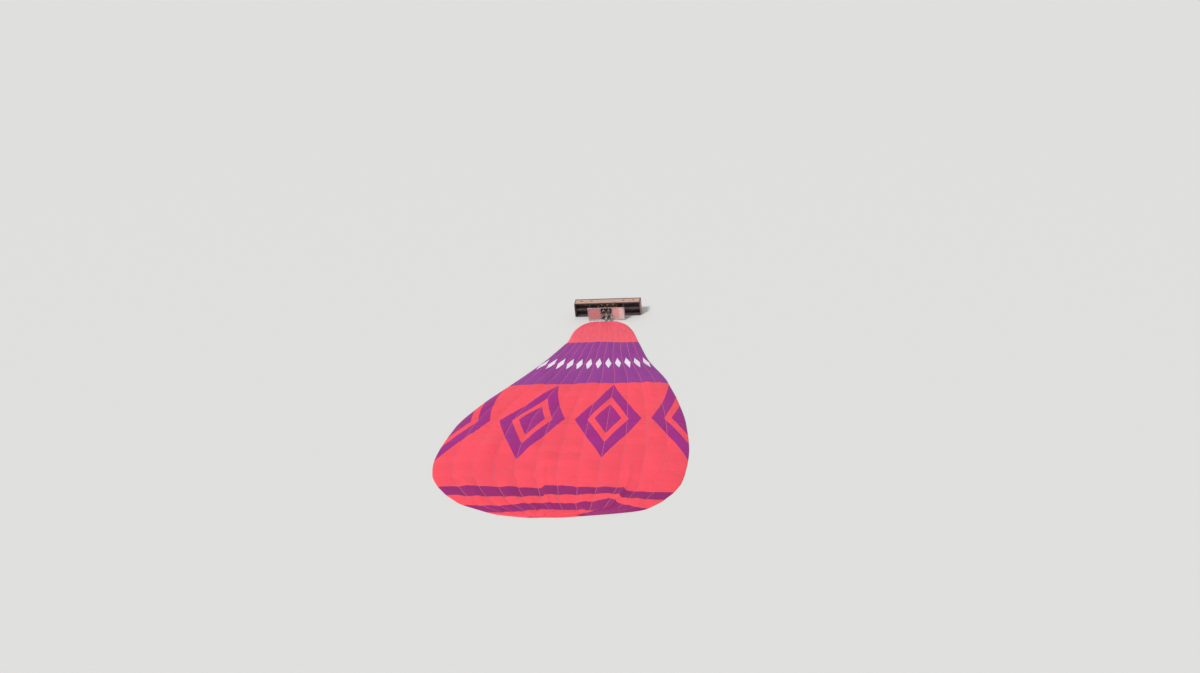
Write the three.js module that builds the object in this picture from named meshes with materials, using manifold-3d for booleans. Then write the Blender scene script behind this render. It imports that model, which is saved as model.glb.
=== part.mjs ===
// A hot air balloon laid out flat on level ground, ready to be filled. Millimetres, +Z up.
// The basket lies on its side at the +Y end with its open top facing -Y. The burners stand in
// front of it, and the cloth runs from its mouth by the burners to the crown at the -Y end.
// Most places are measured from the basket's rim: x from the basket's middle, y toward its floor.
// A distance called t runs the other way, from the rim toward the crown, so that y = -t.

import * as THREE from 'three';
import { mergeVertices } from 'three/addons/utils/BufferGeometryUtils.js';
import Module from 'manifold-3d';

const GAP = 0.3; // between pieces that touch

// Cloth
const CLOTH = 10; // thickness of the skin
const MOUTH_T = 1500;
const CROWN_T = 36900;
const STAY_T = 1900; // where the stays are sewn to the mouth

// The cloth's outline and height as it lies.
// t: from the rim; left, right: from the basket's middle line; rise: inside height at the middle
const OUTLINE = [
  { t: MOUTH_T, left: 1900, right: 1300, rise: 90 },
  { t: STAY_T, left: 2450, right: 1950, rise: 110 },
  { t: 3500, left: 3200, right: 2960, rise: 190 },
  { t: 5800, left: 3520, right: 3750, rise: 240 },
  { t: 10000, left: 5350, right: 5220, rise: 270 },
  { t: 14200, left: 7700, right: 7380, rise: 290 },
  { t: 18000, left: 9930, right: 8690, rise: 310 },
  { t: 22500, left: 11740, right: 9820, rise: 330 },
  { t: 27800, left: 12400, right: 10400, rise: 320 },
  { t: 30200, left: 12050, right: 10300, rise: 300 },
  { t: 32200, left: 11070, right: 10020, rise: 260 },
  { t: 33500, left: 10030, right: 9470, rise: 220 },
  { t: 34900, left: 8470, right: 8490, rise: 160 },
  { t: 36000, left: 6150, right: 7100, rise: 100 },
  { t: 36500, left: 4930, right: 4200, rise: 55 },
  { t: CROWN_T, left: 2440, right: 600, rise: 0 },
];

// Seams where the cloth's colours meet, as distances from the rim
const SEAM = { bandFront: 6300, bandRear: 14950, bodyMiddle: 22500 };
const CROWN_SEAM = { wideFront: 32700, wideRear: 33900, narrowFront: 35100, narrowRear: 36000 };

// The shape of the upper cloth across its width.
// across: share of the half width, from the left edge to the right; height: share of the rise
const ARCH = [
  { across: -1, height: 0 },
  { across: -0.94, height: 0.42 },
  { across: -0.78, height: 0.76 },
  { across: -0.45, height: 0.95 },
  { across: 0, height: 1 },
  { across: 0.45, height: 0.95 },
  { across: 0.78, height: 0.76 },
  { across: 0.94, height: 0.42 },
  { across: 1, height: 0 },
];

// Basket, as it lies: its length along X, its width along Z and its height along Y
const BASKET = { length: 7000, width: 1550, height: 1100, wall: 40, floor: 18 };
const RIM = { width: 80, height: 60, corner: 120 };
const WALL_INSET = 20; // the rim and the floor stand proud of the walls by this much
const RUNNER = { width: 80, height: 30 };
const PARTITION = { x: 1000, thick: 36 };
const FOOT_HOLE = { width: 160, height: 110, corner: 40, up: 450, places: [-2750, -1700, 1700, 2750] };

// Gas cylinders, standing on the basket's floor between the two partitions
const CYLINDER = { radius: 180, height: 960, spacing: 600 };

// Load frame with the burners, upright in front of the rim
const FRAME = { t: 950, length: 3900, width: 1400, tube: 25, bay: 585 };
const LUG = { x: 1880, width: 80, reach: 80, thick: 12, hole: 11, holeReach: 58 };
const BOSS = { radius: 30, height: 20 };
const POLE = { x: 1800, radius: 30 };
const SHIELD = { thick: 8, creamFrom: 1290 };
const BURNER = { x: 270, bar: 90, barLength: 1150, pin: 14, spread: 300, plate: 16, plateEdge: 5, bite: 2 };
const CAN = { outer: 170, inner: 158, length: 400 };
const VALVE = { width: 76, depth: 70, height: 110, pipe: 13, pipeBack: 58 };
const LEVER = { radius: 9, reach: 120, rise: 60 };
const STAY = { radius: 5, ball: 12, footAcross: 0.7 };

// Places that follow from the sizes above
const BASKET_BACK = BASKET.height + RUNNER.height;
const RIM_Y = (CROWN_T - BASKET_BACK) / 2;
const widest = (side) => Math.max(...OUTLINE.map((row) => row[side]));
const MIDDLE_X = (widest('left') - widest('right')) / 2;
const BASKET_Z = BASKET.width / 2;
const FLOOR_Y = BASKET.height - BASKET.floor;
const INSIDE_LOW = WALL_INSET + BASKET.wall;
const INSIDE_HIGH = BASKET.width - INSIDE_LOW;
const FRAME_Y = -FRAME.t;
const FRAME_END_X = FRAME.length / 2 - FRAME.tube;
const FRAME_LOW = BASKET_Z - FRAME.width / 2 + FRAME.tube;
const FRAME_HIGH = BASKET_Z + FRAME.width / 2 - FRAME.tube;

// Colours
const CORAL = { color: 0xf95f6f, roughness: 0.6, metalness: 0 };
const PURPLE = { color: 0x983f92, roughness: 0.6, metalness: 0 };
const SALMON = { color: 0xd0847f, roughness: 0.8, metalness: 0 };
const CREAM = { color: 0xe7c9be, roughness: 0.8, metalness: 0 };
const WICKER = { color: 0xb98f78, roughness: 0.8, metalness: 0 };
const WOOD = { color: 0x9a7a55, roughness: 0.7, metalness: 0 };
const HIDE = { color: 0x4b2f45, roughness: 0.7, metalness: 0 };
const STEEL = { color: 0x8f959b, roughness: 0.35, metalness: 1 };
const DARK_METAL = { color: 0x4a4c52, roughness: 0.5, metalness: 0.8 };

const wasm = await Module();
wasm.setup();

const laidOut = new THREE.Group();
laidOut.position.set(MIDDLE_X, RIM_Y, 0);

function addPiece(name, geometry, finish, parent = laidOut) {
  const mesh = new THREE.Mesh(geometry, new THREE.MeshStandardMaterial(finish));
  mesh.name = name;
  parent.add(mesh);
  return mesh;
}

function toSolid(geometry) {
  const bare = geometry.clone();
  bare.deleteAttribute('normal');
  bare.deleteAttribute('uv');
  const merged = mergeVertices(bare, 1e-3);
  return new wasm.Manifold(new wasm.Mesh({
    numProp: 3,
    vertProperties: new Float32Array(merged.attributes.position.array),
    triVerts: new Uint32Array(merged.index.array),
  }));
}

function toGeometry(solid) {
  const mesh = solid.getMesh();
  const geometry = new THREE.BufferGeometry();
  geometry.setAttribute('position', new THREE.BufferAttribute(mesh.vertProperties, 3));
  geometry.setIndex(new THREE.BufferAttribute(mesh.triVerts, 1));
  return geometry;
}

function join(geometries, cuts = []) {
  let solid = geometries.map(toSolid).reduce((whole, piece) => whole.add(piece));
  for (const cut of cuts) solid = solid.subtract(toSolid(cut));
  return toGeometry(solid);
}

// A box from its lowest corner to its highest
function block(low, high) {
  const size = high.map((value, i) => value - low[i]);
  return new THREE.BoxGeometry(...size).translate(...high.map((value, i) => (value + low[i]) / 2));
}

// A round bar between two points
function rod(from, to, radius, sides = 12) {
  const start = new THREE.Vector3(...from);
  const along = new THREE.Vector3(...to).sub(start);
  const up = new THREE.Vector3(0, 1, 0);
  const turn = new THREE.Quaternion().setFromUnitVectors(up, along.clone().normalize());
  return new THREE.CylinderGeometry(radius, radius, along.length(), sides)
    .applyQuaternion(turn)
    .translate(...start.addScaledVector(along, 0.5).toArray());
}

// The cloth's outline at any distance from the rim
function outlineAt(t) {
  const next = Math.max(1, OUTLINE.findIndex((row) => row.t >= t));
  const [a, b] = [OUTLINE[next - 1], OUTLINE[next]];
  const share = (t - a.t) / (b.t - a.t);
  const mix = (key) => a[key] + (b[key] - a[key]) * share;
  return { t, left: mix('left'), right: mix('right'), rise: mix('rise') };
}

// The rows of the outline between two distances, pulled in by half a gap at each end
function rowsBetween(start, end) {
  const inner = OUTLINE.filter((row) => row.t > start && row.t < end);
  const first = start === MOUTH_T ? start : start + GAP / 2;
  const last = end === CROWN_T ? end : end - GAP / 2;
  return [outlineAt(first), ...inner, outlineAt(last)];
}

// The height of the arch between its table's rows
function archHeight(across) {
  const next = Math.max(1, ARCH.findIndex((point) => point.across >= across));
  const [a, b] = [ARCH[next - 1], ARCH[next]];
  return a.height + (b.height - a.height) * (across - a.across) / (b.across - a.across);
}

// A point on top of the upper cloth
function clothTop(row, across, height) {
  const x = across < 0 ? across * row.left : across * row.right;
  return [x, -row.t, 2 * CLOTH + GAP + row.rise * height];
}

// A band of the upper cloth: a sheet that arches from edge to edge
function upperBand(start, end) {
  const rows = rowsBetween(start, end);
  const position = [];
  for (const row of rows) {
    for (const drop of [0, CLOTH]) {
      for (const { across, height } of ARCH) {
        const [x, y, z] = clothTop(row, across, height);
        position.push(x, y, z - drop);
      }
    }
  }
  const n = ARCH.length;
  const index = [];
  const quad = (a, b, c, d) => index.push(a, b, c, a, c, d);
  const at = (row, layer, i) => (row * 2 + layer) * n + i;
  for (let r = 0; r < rows.length - 1; r += 1) {
    for (let i = 0; i < n - 1; i += 1) {
      quad(at(r, 0, i), at(r + 1, 0, i), at(r + 1, 0, i + 1), at(r, 0, i + 1));
      quad(at(r, 1, i), at(r, 1, i + 1), at(r + 1, 1, i + 1), at(r + 1, 1, i));
    }
    quad(at(r, 0, 0), at(r, 1, 0), at(r + 1, 1, 0), at(r + 1, 0, 0));
    quad(at(r, 0, n - 1), at(r + 1, 0, n - 1), at(r + 1, 1, n - 1), at(r, 1, n - 1));
  }
  const lastRow = rows.length - 1;
  for (let i = 0; i < n - 1; i += 1) {
    quad(at(0, 0, i), at(0, 0, i + 1), at(0, 1, i + 1), at(0, 1, i));
    quad(at(lastRow, 0, i), at(lastRow, 1, i), at(lastRow, 1, i + 1), at(lastRow, 0, i + 1));
  }
  const geometry = new THREE.BufferGeometry();
  geometry.setAttribute('position', new THREE.Float32BufferAttribute(position, 3));
  geometry.setIndex(index);
  return geometry;
}

// A panel of the lower cloth: a flat sheet on the ground
function lowerPanel(start, end) {
  const rows = rowsBetween(start, end);
  const left = rows.map((row) => new THREE.Vector2(-row.left, -row.t));
  const right = rows.map((row) => new THREE.Vector2(row.right, -row.t)).reverse();
  const shape = new THREE.Shape([...left, ...right]);
  return new THREE.ExtrudeGeometry(shape, { depth: CLOTH, bevelEnabled: false });
}

// name, start and end: distances from the rim, finish
const { bandFront, bandRear, bodyMiddle } = SEAM;
const { wideFront, wideRear, narrowFront, narrowRear } = CROWN_SEAM;
const UPPER_BANDS = [
  { name: 'upper_mouth', start: MOUTH_T, end: bandFront, finish: CORAL },
  { name: 'upper_purple_band', start: bandFront, end: bandRear, finish: PURPLE },
  { name: 'upper_body_front', start: bandRear, end: bodyMiddle, finish: CORAL },
  { name: 'upper_body_rear', start: bodyMiddle, end: wideFront, finish: CORAL },
  { name: 'upper_crown_stripe_wide', start: wideFront, end: wideRear, finish: PURPLE },
  { name: 'upper_crown_panel', start: wideRear, end: narrowFront, finish: CORAL },
  { name: 'upper_crown_stripe_narrow', start: narrowFront, end: narrowRear, finish: PURPLE },
  { name: 'upper_crown_edge', start: narrowRear, end: CROWN_T, finish: CORAL },
];
const LOWER_PANELS = [
  { name: 'lower_mouth', start: MOUTH_T, end: bandFront, finish: CORAL },
  { name: 'lower_purple_band', start: bandFront, end: bandRear, finish: PURPLE },
  { name: 'lower_body_front', start: bandRear, end: bodyMiddle, finish: CORAL },
  { name: 'lower_body_rear', start: bodyMiddle, end: wideFront, finish: CORAL },
  { name: 'lower_crown', start: wideFront, end: CROWN_T, finish: CORAL },
];

function addCloth() {
  for (const { name, start, end, finish } of UPPER_BANDS) addPiece(name, upperBand(start, end), finish);
  for (const { name, start, end, finish } of LOWER_PANELS) addPiece(name, lowerPanel(start, end), finish);
}

// A rectangle with round corners about a middle point, as a Shape or a Path
function roundedRectangle(Outline, [middleX, middleY], halfX, halfY, corner) {
  const outline = new Outline();
  const x = halfX - corner;
  const y = halfY - corner;
  const quarter = Math.PI / 2;
  outline.moveTo(middleX - x, middleY - halfY);
  outline.absarc(middleX + x, middleY - y, corner, -quarter, 0);
  outline.absarc(middleX + x, middleY + y, corner, 0, quarter);
  outline.absarc(middleX - x, middleY + y, corner, quarter, 2 * quarter);
  outline.absarc(middleX - x, middleY - y, corner, 2 * quarter, 3 * quarter);
  outline.closePath();
  return outline;
}

// A flat shape in X and Z, made thick from one Y to another
function slab(shape, fromY, toY) {
  return new THREE.ExtrudeGeometry(shape, { depth: toY - fromY, bevelEnabled: false, curveSegments: 4 })
    .rotateX(Math.PI / 2)
    .translate(0, toY, 0);
}

// A long wall of the basket with its foot holes
function longWall(halfX, fromY, toY) {
  const wall = new THREE.Shape();
  wall.moveTo(-halfX, fromY);
  wall.lineTo(halfX, fromY);
  wall.lineTo(halfX, toY);
  wall.lineTo(-halfX, toY);
  wall.closePath();
  const { width, height, corner, up, places } = FOOT_HOLE;
  for (const x of places) {
    wall.holes.push(roundedRectangle(THREE.Path, [x, FLOOR_Y - up], width / 2, height / 2, corner));
  }
  return new THREE.ExtrudeGeometry(wall, { depth: BASKET.wall, bevelEnabled: false, curveSegments: 3 });
}

// The rim, the floor and the walls, with two partitions across and a divider in each outer bay
function addBasket() {
  const halfLength = BASKET.length / 2;
  const wallX = halfLength - WALL_INSET;
  const wallFrom = RIM.height + GAP;
  const wallTo = FLOOR_Y - GAP;
  const insideX = wallX - BASKET.wall;

  const middle = [0, BASKET_Z];
  const rim = roundedRectangle(THREE.Shape, middle, halfLength, BASKET_Z, RIM.corner);
  const [holeX, holeZ] = [halfLength - RIM.width, BASKET_Z - RIM.width];
  rim.holes.push(roundedRectangle(THREE.Path, middle, holeX, holeZ, RIM.corner - RIM.width));
  addPiece('basket_rim', slab(rim, 0, RIM.height), HIDE);
  const floor = roundedRectangle(THREE.Shape, middle, halfLength, BASKET_Z, RIM.corner / 2);
  addPiece('basket_floor', slab(floor, FLOOR_Y, BASKET.height), WOOD);

  addPiece('basket_wall_low', longWall(wallX, wallFrom, wallTo).translate(0, 0, WALL_INSET), WICKER);
  addPiece('basket_wall_high', longWall(wallX, wallFrom, wallTo).translate(0, 0, INSIDE_HIGH), WICKER);
  for (const [side, sign] of [['left', -1], ['right', 1]]) {
    const span = (from, to) => [Math.min(sign * from, sign * to), Math.max(sign * from, sign * to)];
    const [endFrom, endTo] = span(insideX, wallX);
    const end = block([endFrom, wallFrom, INSIDE_LOW + GAP], [endTo, wallTo, INSIDE_HIGH - GAP]);
    addPiece(`basket_end_${side}`, end, WICKER);
    const [crossFrom, crossTo] = span(PARTITION.x, PARTITION.x + PARTITION.thick);
    const cross = block([crossFrom, wallFrom, INSIDE_LOW + GAP], [crossTo, wallTo, INSIDE_HIGH - GAP]);
    addPiece(`partition_${side}`, cross, WICKER);
    const [divideFrom, divideTo] = span(PARTITION.x + PARTITION.thick + GAP, insideX - GAP);
    const half = PARTITION.thick / 2;
    const divider = block([divideFrom, wallFrom, BASKET_Z - half], [divideTo, wallTo, BASKET_Z + half]);
    addPiece(`divider_${side}`, divider, WICKER);
  }
}

// Wooden runners under the basket's floor, which it stands on once it is upright
function addRunners() {
  const halfLength = BASKET.length / 2;
  for (const [place, z] of [
    ['low', RUNNER.width],
    ['middle', BASKET_Z],
    ['high', BASKET.width - RUNNER.width],
  ]) {
    const runner = block(
      [-halfLength, BASKET.height + GAP, z - RUNNER.width / 2],
      [halfLength, BASKET_BACK, z + RUNNER.width / 2],
    );
    addPiece(`runner_${place}`, runner, WOOD);
  }
}

// Three gas cylinders along each long wall of the middle bay
function addCylinders() {
  const seatLow = INSIDE_LOW + GAP + CYLINDER.radius;
  const seatHigh = INSIDE_HIGH - GAP - CYLINDER.radius;
  for (const [row, z] of [['low', seatLow], ['high', seatHigh]]) {
    for (const [place, count] of [['left', -1], ['middle', 0], ['right', 1]]) {
      const cylinder = addPiece(`gas_cylinder_${row}_${place}`, gasCylinder(), STEEL);
      cylinder.rotation.x = Math.PI;
      cylinder.position.set(count * CYLINDER.spacing, FLOOR_Y - GAP, z);
    }
  }
}

// A gas cylinder that stands on its foot ring, with a guard collar round its valves
function gasCylinder() {
  const { radius, height } = CYLINDER;
  const profile = [
    [0, 0],
    [0.84 * radius, 0],
    [0.84 * radius, 35],
    [radius, 75],
    [radius, height - 200],
    [0.9 * radius, height - 140],
    [0.6 * radius, height - 95],
    [0.6 * radius, height],
    [0, height],
  ];
  return new THREE.LatheGeometry(profile.map(([r, y]) => new THREE.Vector2(r, y)), 20);
}

// A ring of tube with two cross tubes, lugs at its corners and bosses for the burners' pins
function addLoadFrame() {
  const tubes = [FRAME_LOW, FRAME_HIGH].map((z) => (
    rod([-FRAME.length / 2, FRAME_Y, z], [FRAME.length / 2, FRAME_Y, z], FRAME.tube)
  ));
  for (const x of [-FRAME_END_X, -FRAME.bay, FRAME.bay, FRAME_END_X]) {
    tubes.push(rod([x, FRAME_Y, FRAME_LOW], [x, FRAME_Y, FRAME_HIGH], FRAME.tube));
  }
  const holes = [];
  for (const sign of [-1, 1]) {
    for (const z of [FRAME_LOW, FRAME_HIGH]) {
      const x = sign * LUG.x;
      const [halfWidth, halfThick] = [LUG.width / 2, LUG.thick / 2];
      tubes.push(block(
        [x - halfWidth, FRAME_Y - LUG.reach, z - halfThick],
        [x + halfWidth, FRAME_Y, z + halfThick],
      ));
      const holeY = FRAME_Y - LUG.holeReach;
      holes.push(rod([x, holeY, z - LUG.thick], [x, holeY, z + LUG.thick], LUG.hole));
    }
    const bossX = sign * BURNER.x;
    const reach = FRAME.tube + BOSS.height;
    tubes.push(rod([bossX, FRAME_Y, FRAME_LOW], [bossX, FRAME_Y, FRAME_LOW + reach], BOSS.radius));
    tubes.push(rod([bossX, FRAME_Y, FRAME_HIGH - reach], [bossX, FRAME_Y, FRAME_HIGH], BOSS.radius));
  }
  addPiece('load_frame', join(tubes, holes), STEEL);
}

// Cloth shields that fill the load frame on each side of the burners
function addShields() {
  const shieldLow = FRAME_LOW + FRAME.tube + GAP;
  const shieldHigh = FRAME_HIGH - FRAME.tube - GAP;
  const shieldIn = FRAME.bay + FRAME.tube + GAP;
  const shieldOut = FRAME_END_X - FRAME.tube - GAP;
  const shield = (fromX, toX) => block(
    [fromX, FRAME_Y - SHIELD.thick / 2, shieldLow],
    [toX, FRAME_Y + SHIELD.thick / 2, shieldHigh],
  );
  addPiece('heat_shield_left', shield(-shieldOut, -shieldIn), SALMON);
  addPiece('heat_shield_right', shield(shieldIn, SHIELD.creamFrom), SALMON);
  addPiece('heat_shield_right_outer', shield(SHIELD.creamFrom + GAP, shieldOut), CREAM);
}

// A padded pole from the rim's face to the load frame, leaning a little as it goes
function addPoles() {
  const length = FRAME.t - FRAME.tube - 2 * GAP;
  const rimMiddle = RIM.width / 2;
  for (const [row, rimZ, frameZ] of [
    ['low', rimMiddle, FRAME_LOW],
    ['high', BASKET.width - rimMiddle, FRAME_HIGH],
  ]) {
    const lean = (rimZ - frameZ) / length;
    for (const [side, sign] of [['left', -1], ['right', 1]]) {
      const pole = new THREE.CylinderGeometry(POLE.radius, POLE.radius, length, 12)
        .applyMatrix4(new THREE.Matrix4().makeShear(0, 0, 0, lean, 0, 0))
        .translate(sign * POLE.x, -GAP - length / 2, (rimZ + frameZ) / 2);
      addPiece(`pole_${row}_${side}`, pole, HIDE);
    }
  }
}

// A valve block behind a burner, with its lever
function blastValve(fromY, z) {
  const { width, depth, height } = VALVE;
  const body = block(
    [-width / 2, fromY - BURNER.bite, z - height / 2],
    [width / 2, fromY + depth, z + height / 2],
  );
  const root = [0, fromY + depth - LEVER.radius, z];
  return [body, rod(root, [0, fromY + LEVER.reach, z + LEVER.rise], LEVER.radius)];
}

// Two burners on one upright bar, which turns on a pin at each end
function addBurners() {
  const pinReach = BASKET_Z - FRAME_LOW - FRAME.tube - BOSS.height - GAP;
  const half = BURNER.bar / 2;
  const halfBar = BURNER.barLength / 2;
  const plateFront = -half - BURNER.plate;
  const profile = [
    [CAN.inner, 0],
    [CAN.outer, 0],
    [CAN.outer, CAN.length],
    [CAN.inner, CAN.length],
    [CAN.inner, 0],
  ].map(([r, y]) => new THREE.Vector2(r, y));
  for (const [side, sign] of [['left', -1], ['right', 1]]) {
    const unit = new THREE.Group();
    unit.position.set(sign * BURNER.x, FRAME_Y, BASKET_Z);
    laidOut.add(unit);
    const bar = block([-half, -half, -halfBar], [half, half, halfBar]);
    const pin = rod([0, 0, -pinReach], [0, 0, pinReach], BURNER.pin);
    const plates = [-BURNER.spread, BURNER.spread].map((z) => (
      rod([0, -half + BURNER.bite, z], [0, plateFront, z], CAN.outer + BURNER.plateEdge, 24)
    ));
    const pipe = rod([0, VALVE.pipeBack, -halfBar], [0, VALVE.pipeBack, halfBar], VALVE.pipe);
    const valves = [-BURNER.spread, BURNER.spread].flatMap((z) => blastValve(half, z));
    addPiece(`burner_bar_${side}`, join([bar, pin, pipe, ...plates, ...valves]), DARK_METAL, unit);
    for (const [row, rowSign] of [['low', -1], ['high', 1]]) {
      const can = addPiece(`burner_can_${row}_${side}`, new THREE.LatheGeometry(profile, 24), STEEL, unit);
      can.rotation.x = Math.PI;
      can.position.set(0, plateFront - GAP, rowSign * BURNER.spread);
    }
  }
}

// The main stays: wires from the load frame's lugs to the cloth's mouth
function addStays() {
  const lugFront = FRAME_Y - LUG.reach;
  const row = outlineAt(STAY_T);
  for (const [side, sign] of [['left', -1], ['right', 1]]) {
    const foot = clothTop(row, sign * STAY.footAcross, archHeight(sign * STAY.footAcross));
    foot[2] += STAY.ball + GAP;
    const head = [sign * LUG.x, lugFront - STAY.ball - GAP, FRAME_HIGH];
    const ball = (centre) => new THREE.SphereGeometry(STAY.ball, 12, 8).translate(...centre);
    addPiece(`stay_${side}`, join([rod(head, foot, STAY.radius, 8), ball(head), ball(foot)]), STEEL);
  }
}

addCloth();
addBasket();
addRunners();
addCylinders();
addLoadFrame();
addShields();
addPoles();
addBurners();
addStays();

const balloon = new THREE.Group();
balloon.add(laidOut);

export default balloon;
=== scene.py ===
# %% [markdown]
# # A hot air balloon laid out on the ground
#
# The real thing is about 38 m long as it lies: a wicker basket on its side, burners in their
# frame in front of it, and thin coated cloth pulled out flat from the burners to the crown.
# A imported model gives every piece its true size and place. This lesson dresses that model:
# it builds each visible surface as its own mesh and gives it a finish made from shader nodes.
#
# Everything is in metres. Y runs from the crown toward the basket, X along the basket, Z up.

# %% Load the frame
import itertools
import math

import bpy
import numpy as np
from mathutils import Matrix, Vector


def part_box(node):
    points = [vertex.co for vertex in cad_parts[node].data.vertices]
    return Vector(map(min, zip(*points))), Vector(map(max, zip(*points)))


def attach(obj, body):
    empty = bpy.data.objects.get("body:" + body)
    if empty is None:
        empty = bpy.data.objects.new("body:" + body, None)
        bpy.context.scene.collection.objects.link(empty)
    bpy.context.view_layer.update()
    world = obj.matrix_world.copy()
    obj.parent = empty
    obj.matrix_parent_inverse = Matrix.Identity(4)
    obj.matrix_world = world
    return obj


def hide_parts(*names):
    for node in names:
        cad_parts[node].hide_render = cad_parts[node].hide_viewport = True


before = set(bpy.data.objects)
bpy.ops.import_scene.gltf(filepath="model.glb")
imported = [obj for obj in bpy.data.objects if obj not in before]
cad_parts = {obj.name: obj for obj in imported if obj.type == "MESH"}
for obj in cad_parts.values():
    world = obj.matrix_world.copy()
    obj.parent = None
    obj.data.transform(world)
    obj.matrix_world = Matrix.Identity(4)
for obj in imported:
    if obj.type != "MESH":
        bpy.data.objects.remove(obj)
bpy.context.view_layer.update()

# %% [markdown]
# ## Camera
#
# A camera can be placed by eye, or worked out. This one was worked out from the picture: it
# flies about 65 m up and 115 m from the middle of the cloth, turned a little to the left and
# tipped down 27 degrees, with the horizon rolled by 6 degrees. Turning a camera in three
# steps, in the order heading, pitch, roll, keeps each of the three angles readable.

# %% Place the camera
CAMERA_AT = Vector((22.52, -113.01, 65.3))
SEES_TO = 2000.0              # the camera's far limit
HEADING = math.radians(9.8)   # to the left of +Y
PITCH = math.radians(27)      # below the horizon
ROLL = math.radians(6)        # clockwise
LENS_MM = 42.0
SENSOR_MM = 36.0


def add_camera():
    data = bpy.data.cameras.new("camera")
    data.lens = LENS_MM
    data.sensor_width = SENSOR_MM
    data.clip_end = SEES_TO
    camera = bpy.data.objects.new("camera", data)
    bpy.context.collection.objects.link(camera)
    turn = Matrix.Rotation(HEADING, 4, "Z") @ Matrix.Rotation(math.pi / 2 - PITCH, 4, "X")
    camera.matrix_world = Matrix.Translation(CAMERA_AT) @ turn @ Matrix.Rotation(-ROLL, 4, "Z")
    bpy.context.scene.camera = camera
    return camera


camera = add_camera()
print("camera at", tuple(round(v, 2) for v in camera.location))

# %% [markdown]
# ## Floor and light
#
# The look of cloth depends on soft, even light. One large sun with a wide disc gives gentle
# shadows that still show the folds, and a pale sky fills them. The two add up so that a white
# surface lying flat comes out just under full white: then a colour that was read from a
# picture can be used as it is. For the same reason the plain display transform is used.

# %% Add the floor, the sun and the sky
FLOOR_SIZE = 1400.0
FLOOR_GREY = (0.76, 0.76, 0.75)
FLOOR_ROUGH = 0.9
SUN_POWER = 2.05
SUN_DISC = math.radians(14)
SUN_HEIGHT = math.radians(52)
SUN_FROM = math.radians(-38)   # to the left of the view along +Y, from behind the camera
SKY_POWER = 0.5
SKY_COLOUR = (0.93, 0.96, 1.0, 1.0)
SUN_COLOUR = (1.0, 0.97, 0.92)


def add_floor():
    bpy.ops.mesh.primitive_plane_add(size=FLOOR_SIZE)
    floor = bpy.context.object
    floor.name = "studio_floor"
    material = bpy.data.materials.new("studio_floor")
    material.use_nodes = True
    shader = material.node_tree.nodes["Principled BSDF"]
    shader.inputs["Base Color"].default_value = (*FLOOR_GREY, 1)
    shader.inputs["Roughness"].default_value = FLOOR_ROUGH
    floor.data.materials.append(material)


def add_light():
    sun = bpy.data.lights.new("sun", "SUN")
    sun.energy = SUN_POWER
    sun.angle = SUN_DISC
    sun.color = SUN_COLOUR
    lamp = bpy.data.objects.new("sun", sun)
    bpy.context.collection.objects.link(lamp)
    lamp.rotation_euler = (math.pi / 2 - SUN_HEIGHT, 0, SUN_FROM)
    world = bpy.data.worlds.new("sky")
    world.use_nodes = True
    sky = world.node_tree.nodes["Background"]
    sky.inputs["Color"].default_value = SKY_COLOUR
    sky.inputs["Strength"].default_value = SKY_POWER
    bpy.context.scene.world = world
    bpy.context.scene.view_settings.view_transform = "Standard"


add_floor()
add_light()
print("lights:", [light.name for light in bpy.data.lights], "and", bpy.context.scene.world.name)

# %% [markdown]
# ## Helpers that make meshes
#
# Most pieces here are a grid, a section carried along a path, or a profile turned round an
# axis. Each helper returns plain lists of points and faces, so that many small things can be
# joined into one mesh before Blender ever sees them. That is much faster than adding
# hundreds of objects, and it keeps the outliner short.

# %% Grids and sections
def grid_faces(rows, columns, closed=False):
    """Faces of a grid of points. A closed grid joins its last column to its first."""
    across = columns if closed else columns - 1
    r, c = np.meshgrid(np.arange(rows - 1), np.arange(across), indexing="ij")
    here, there = r * columns + c, r * columns + (c + 1) % columns
    return np.stack([here, here + columns, there + columns, there], -1).reshape(-1, 4)


def surface(grid):
    """A grid of points as one shape."""
    return grid.reshape(-1, 3), grid_faces(*grid.shape[:2])


def ring(radius, sides=12):
    """A round section."""
    turn = np.arange(sides) * 2 * math.pi / sides
    return np.stack([radius * np.cos(turn), radius * np.sin(turn)], -1)


def circle(centre, radius, sides):
    """A closed line round the Y axis."""
    turn = np.arange(sides) * math.tau / sides
    x, y, z = centre
    return np.stack([x + radius * np.cos(turn), np.full(sides, y), z + radius * np.sin(turn)], -1)


# %% Sections carried along paths
def path_frames(path, up=(0, 0, 1), closed=False):
    """For each point of a path, the point and the directions to its side and up."""
    path = np.asarray(path, float)
    ahead = np.roll(path, -1, 0) if closed else np.vstack([path[1:], 2 * path[-1] - path[-2]])
    behind = np.roll(path, 1, 0) if closed else np.vstack([2 * path[0] - path[1], path[:-1]])
    along = ahead - behind
    along /= np.linalg.norm(along, axis=1, keepdims=True)
    side = np.cross(along, np.broadcast_to(np.asarray(up, float), along.shape))
    side /= np.linalg.norm(side, axis=1, keepdims=True)
    return path, side, np.cross(side, along)


def resampled(path, step, closed=False):
    """The path's points at even steps. A closed path comes back without a repeated first point."""
    path = np.asarray(path, float)
    if closed:
        path = np.vstack([path, path[:1]])
    run = np.concatenate([[0], np.cumsum(np.linalg.norm(np.diff(path, axis=0), axis=1))])
    count = max(2, round(run[-1] / step))
    places = np.linspace(0, run[-1], count + 1)
    even = np.stack([np.interp(places, run, path[:, axis]) for axis in range(3)], -1)
    return even[:-1] if closed else even


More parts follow.
